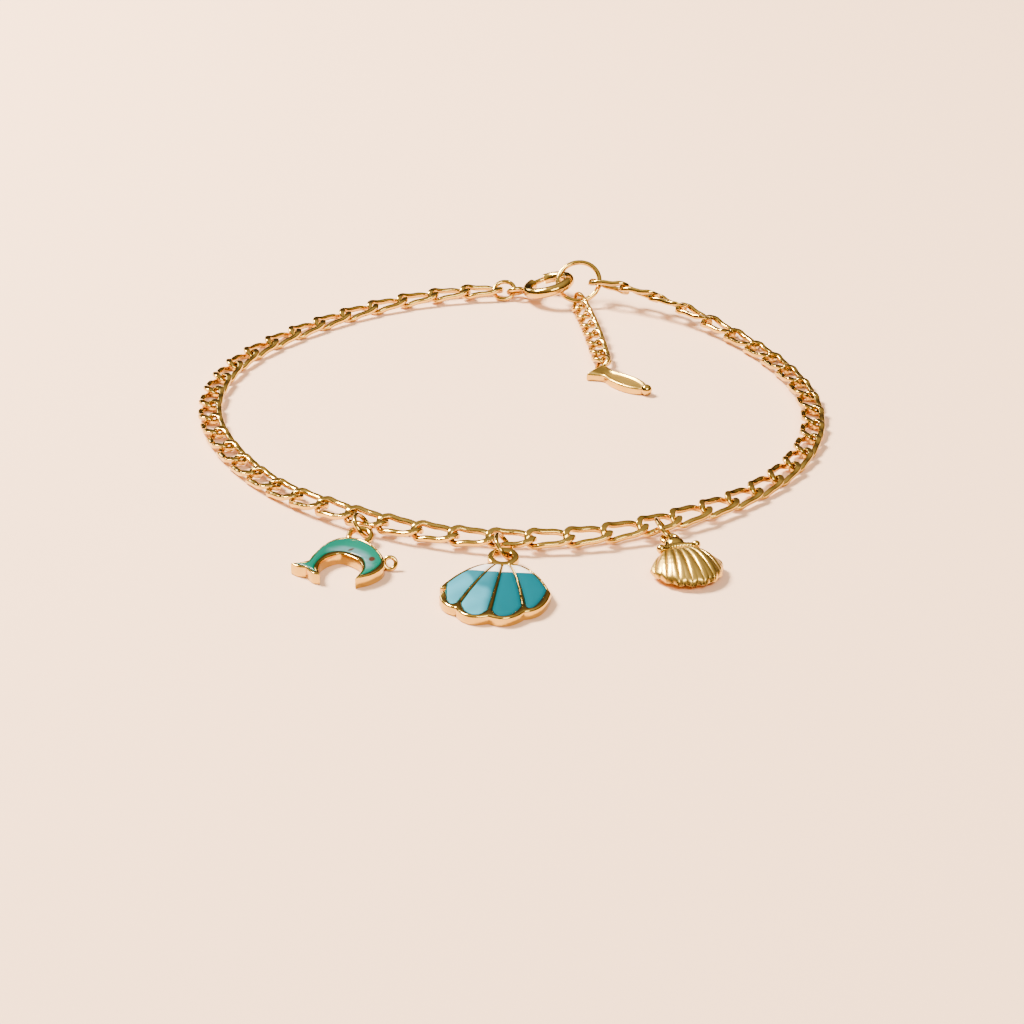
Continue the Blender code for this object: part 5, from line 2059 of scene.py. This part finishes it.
        # Painted shade along the shell's metal and the dolphin's darker back, then painted sky
        # reflection and sheen with the dolphin's paler belly.
        colour = self._blend(tree, self._value(tree, "shade"), None, finish.shade, finish.base)
        colour = self._blend(tree, self._value(tree, "tint"), colour, finish.tint)
        clouds = self._span(tree, cloud, (0.45, 0.8), (0.0, 0.25))
        colour = self._blend(tree, clouds, colour, finish.shade)
        colour = self._blend(tree, self._value(tree, "mark"), colour, finish.mark)
        tree.links.new(colour, shader.inputs["Base Color"])
        target = (finish.roughness * 0.8, finish.roughness * 1.3)
        tree.links.new(self._span(tree, cloud, (0.3, 0.7), target), shader.inputs["Roughness"])
        normal = self._bump(tree, cloud, finish.bump, finish.bump_height)
        tree.links.new(normal, shader.inputs["Normal"])
        return material


@dataclass
class Shop:
    """Turns shapes into finished objects that stand for CAD nodes.

    Args:
        palette: the materials.
        offset: the loop's centre in the row frame.
    """

    palette: Palette
    offset: tuple[float, float, float]

    def add(self, name: str, shape: Shape, slot: Slot, node: str, body: str = BODY) -> None:
        """Add one piece.

        Args:
            name: the piece's name.
            shape: its shape in the loop's own frame.
            slot: its material slot.
            node: the CAD node that it stands for.
            body: the CAD body that it rides on.
        """
        mesh = shape.placed(shifted(*self.offset)).mesh(name)
        self._merge(mesh, MM)
        mesh.shade_smooth()
        mesh.set_sharp_from_angle(angle=CREASE)
        mesh.materials.append(self.palette.materials[slot])
        obj = bpy.data.objects.new(name, mesh)
        bpy.context.scene.collection.objects.link(obj)
        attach(obj, body)
        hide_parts(node)
        LOG.info("%s: %d faces", name, len(mesh.polygons))

    @staticmethod
    def _merge(mesh: bpy.types.Mesh, scale: float) -> None:
        """Merge the sheets of a mesh and turn their faces outwards.

        Args:
            mesh: the mesh.
            scale: its size over millimetres.
        """
        edit = bmesh.new()
        edit.from_mesh(mesh)
        bmesh.ops.remove_doubles(edit, verts=edit.verts, dist=MERGE * scale)
        bmesh.ops.recalc_face_normals(edit, faces=edit.faces)
        edit.to_mesh(mesh)
        edit.free()

    @classmethod
    def cut(cls, body: Shape, tool: Shape) -> Shape:
        """Return a closed shape with another taken out of it, worked out in mm.

        Args:
            body: the shape.
            tool: the shape that is taken out.

        Returns:
            The triangulated rest.
        """
        objects = []
        for shape in (body, tool):
            mesh = shape.mesh("helper", 1.0)
            cls._merge(mesh, 1.0)
            objects.append(bpy.data.objects.new("helper", mesh))
            bpy.context.scene.collection.objects.link(objects[-1])
        modifier = objects[0].modifiers.new("cut", "BOOLEAN")
        modifier.operation = "DIFFERENCE"
        modifier.object = objects[1]
        graph = bpy.context.evaluated_depsgraph_get()
        mesh = bpy.data.meshes.new_from_object(objects[0].evaluated_get(graph))
        mesh.calc_loop_triangles()
        points = np.empty(len(mesh.vertices) * 3)
        mesh.vertices.foreach_get("co", points)
        corners = np.empty(len(mesh.loop_triangles) * 3, dtype=np.int32)
        mesh.loop_triangles.foreach_get("vertices", corners)
        for obj in objects:
            bpy.data.objects.remove(obj, do_unlink=True)
        return Shape(points.reshape(-1, 3), [corners.reshape(-1, 3)])


# Studio


@dataclass(frozen=True)
class Lamp:
    """A soft rectangular lamp that faces the bracelet.

    Args:
        name: its name.
        place: its place, in metres.
        size: its width and height, in metres.
        power: its power.
        colour: its colour.
    """

    name: str
    place: tuple[float, float, float]
    size: tuple[float, float]
    power: float
    colour: Colour

    def build(self) -> None:
        """Make the lamp."""
        light = bpy.data.lights.new(self.name, "AREA")
        light.shape = "RECTANGLE"
        light.size, light.size_y = self.size
        light.energy = self.power
        light.color = self.colour
        obj = bpy.data.objects.new(self.name, light)
        obj.location = self.place
        obj.rotation_mode = "QUATERNION"
        obj.rotation_quaternion = (-Vector(self.place)).to_track_quat("-Z", "Y")
        bpy.context.scene.collection.objects.link(obj)


@dataclass
class Studio:
    """The pale floor, the soft light and the camera at the photograph's viewing angle.

    Args:
        offset: the loop's centre in the row frame.
        lamps: the lamps.
        sky: (height, colour) stops of the world, from straight down to straight up.
        sky_power: the world's strength.
        floor: the floor's colour.
        floor_half: its half width, in metres.
        floor_rough: its roughness.
        floor_specular: its specular level.
        camera_at: the camera's place in the loop's own frame.
        elevation: how far the camera looks down.
        lens: its focal length.
        sensor: its sensor's width.
        clip: its nearest and farthest distance, in metres.
    """

    offset: tuple[float, float, float]
    lamps: tuple[Lamp, ...] = (
        Lamp("key", (-0.34, 0.18, 0.46), (0.18, 0.18), 19.0, (1.0, 0.91, 0.81)),
        Lamp("fill", (0.16, -0.42, 0.42), (0.34, 0.16), 3.2, (1.0, 0.93, 0.86)),
        Lamp("back", (-0.40, 0.55, 0.30), (0.20, 0.10), 1.0, (1.0, 0.95, 0.90)))
    sky: tuple[tuple[float, Colour], ...] = (
        (0.48, (0.03, 0.02, 0.012)), (0.62, (0.05, 0.035, 0.022)), (0.73, (0.22, 0.165, 0.12)),
        (1.0, (1.0, 0.86, 0.74)))
    sky_power: float = 0.8
    floor: Colour = (1.0, 0.67, 0.44)
    floor_half: float = 1.2
    floor_rough: float = 0.8
    floor_specular: float = 0.2
    camera_at: tuple[float, float, float] = (0.0, -297.93, 128.63)
    elevation: float = np.radians(25.0)
    lens: float = 119.53
    sensor: float = 36.0
    clip: tuple[float, float] = (0.01, 10)

    def build(self) -> None:
        """Make the floor, the world, the lamps and the camera."""
        self._floor()
        self._world()
        for lamp in self.lamps:
            lamp.build()
        self._camera()
        LOG.info("studio built")

    def _floor(self) -> None:
        """Make the plain pale floor."""
        mesh = bpy.data.meshes.new("floor")
        corners = np.array([(-1, -1, 0), (1, -1, 0), (1, 1, 0), (-1, 1, 0)]) * self.floor_half
        mesh.from_pydata(corners.tolist(), [], [(0, 1, 2, 3)])
        floor = bpy.data.objects.new("floor", mesh)
        bpy.context.scene.collection.objects.link(floor)
        material = bpy.data.materials.new("pale_floor")
        material.use_nodes = True
        shader = material.node_tree.nodes["Principled BSDF"]
        shader.inputs["Base Color"].default_value = (*self.floor, 1.0)
        shader.inputs["Roughness"].default_value = self.floor_rough
        shader.inputs["Specular IOR Level"].default_value = self.floor_specular
        mesh.materials.append(material)

    def _world(self) -> None:
        """Make the world: a ramp of colours over the height of each direction."""
        world = bpy.data.worlds.new("studio")
        bpy.context.scene.world = world
        world.use_nodes = True
        tree = world.node_tree
        background = tree.nodes["Background"]
        coordinates = tree.nodes.new("ShaderNodeTexCoord")
        split = tree.nodes.new("ShaderNodeSeparateXYZ")
        ramp = tree.nodes.new("ShaderNodeValToRGB")
        span = tree.nodes.new("ShaderNodeMapRange")
        span.inputs["From Min"].default_value = -1.0
        tree.links.new(coordinates.outputs["Generated"], split.inputs["Vector"])
        tree.links.new(split.outputs["Z"], span.inputs["Value"])
        tree.links.new(span.outputs["Result"], ramp.inputs["Fac"])
        stops = ramp.color_ramp.elements
        stops[0].position, stops[1].position = self.sky[0][0], self.sky[-1][0]
        stops[0].color, stops[1].color = (*self.sky[0][1], 1), (*self.sky[-1][1], 1)
        for position, colour in self.sky[1:-1]:
            stops.new(position).color = (*colour, 1)
        tree.links.new(ramp.outputs["Color"], background.inputs["Color"])
        background.inputs["Strength"].default_value = self.sky_power

    def _camera(self) -> None:
        """Make the camera."""
        data = bpy.data.cameras.new("camera")
        data.lens, data.sensor_width = self.lens, self.sensor
        data.clip_start, data.clip_end = self.clip
        camera = bpy.data.objects.new("camera", data)
        camera.location = Vector((np.array(self.camera_at) + self.offset) * MM)
        camera.rotation_euler = (np.pi / 2 - self.elevation, 0, 0)
        bpy.context.scene.collection.objects.link(camera)
        bpy.context.scene.camera = camera


def main() -> None:
    """Build the fine pieces over the frame, and the studio round them."""
    logging.basicConfig(level=logging.INFO, format="%(name)s: %(message)s")
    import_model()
    chain = Chain()
    Studio(chain.offset).build()
    shop = Shop(Palette(), chain.offset)
    clasp = Clasp(chain)
    for assembly in (chain, clasp, Tail(clasp), Dolphin(chain), BlueShell(chain), CastShell(chain)):
        assembly.build(shop)


if __name__ == "__main__":
    main()
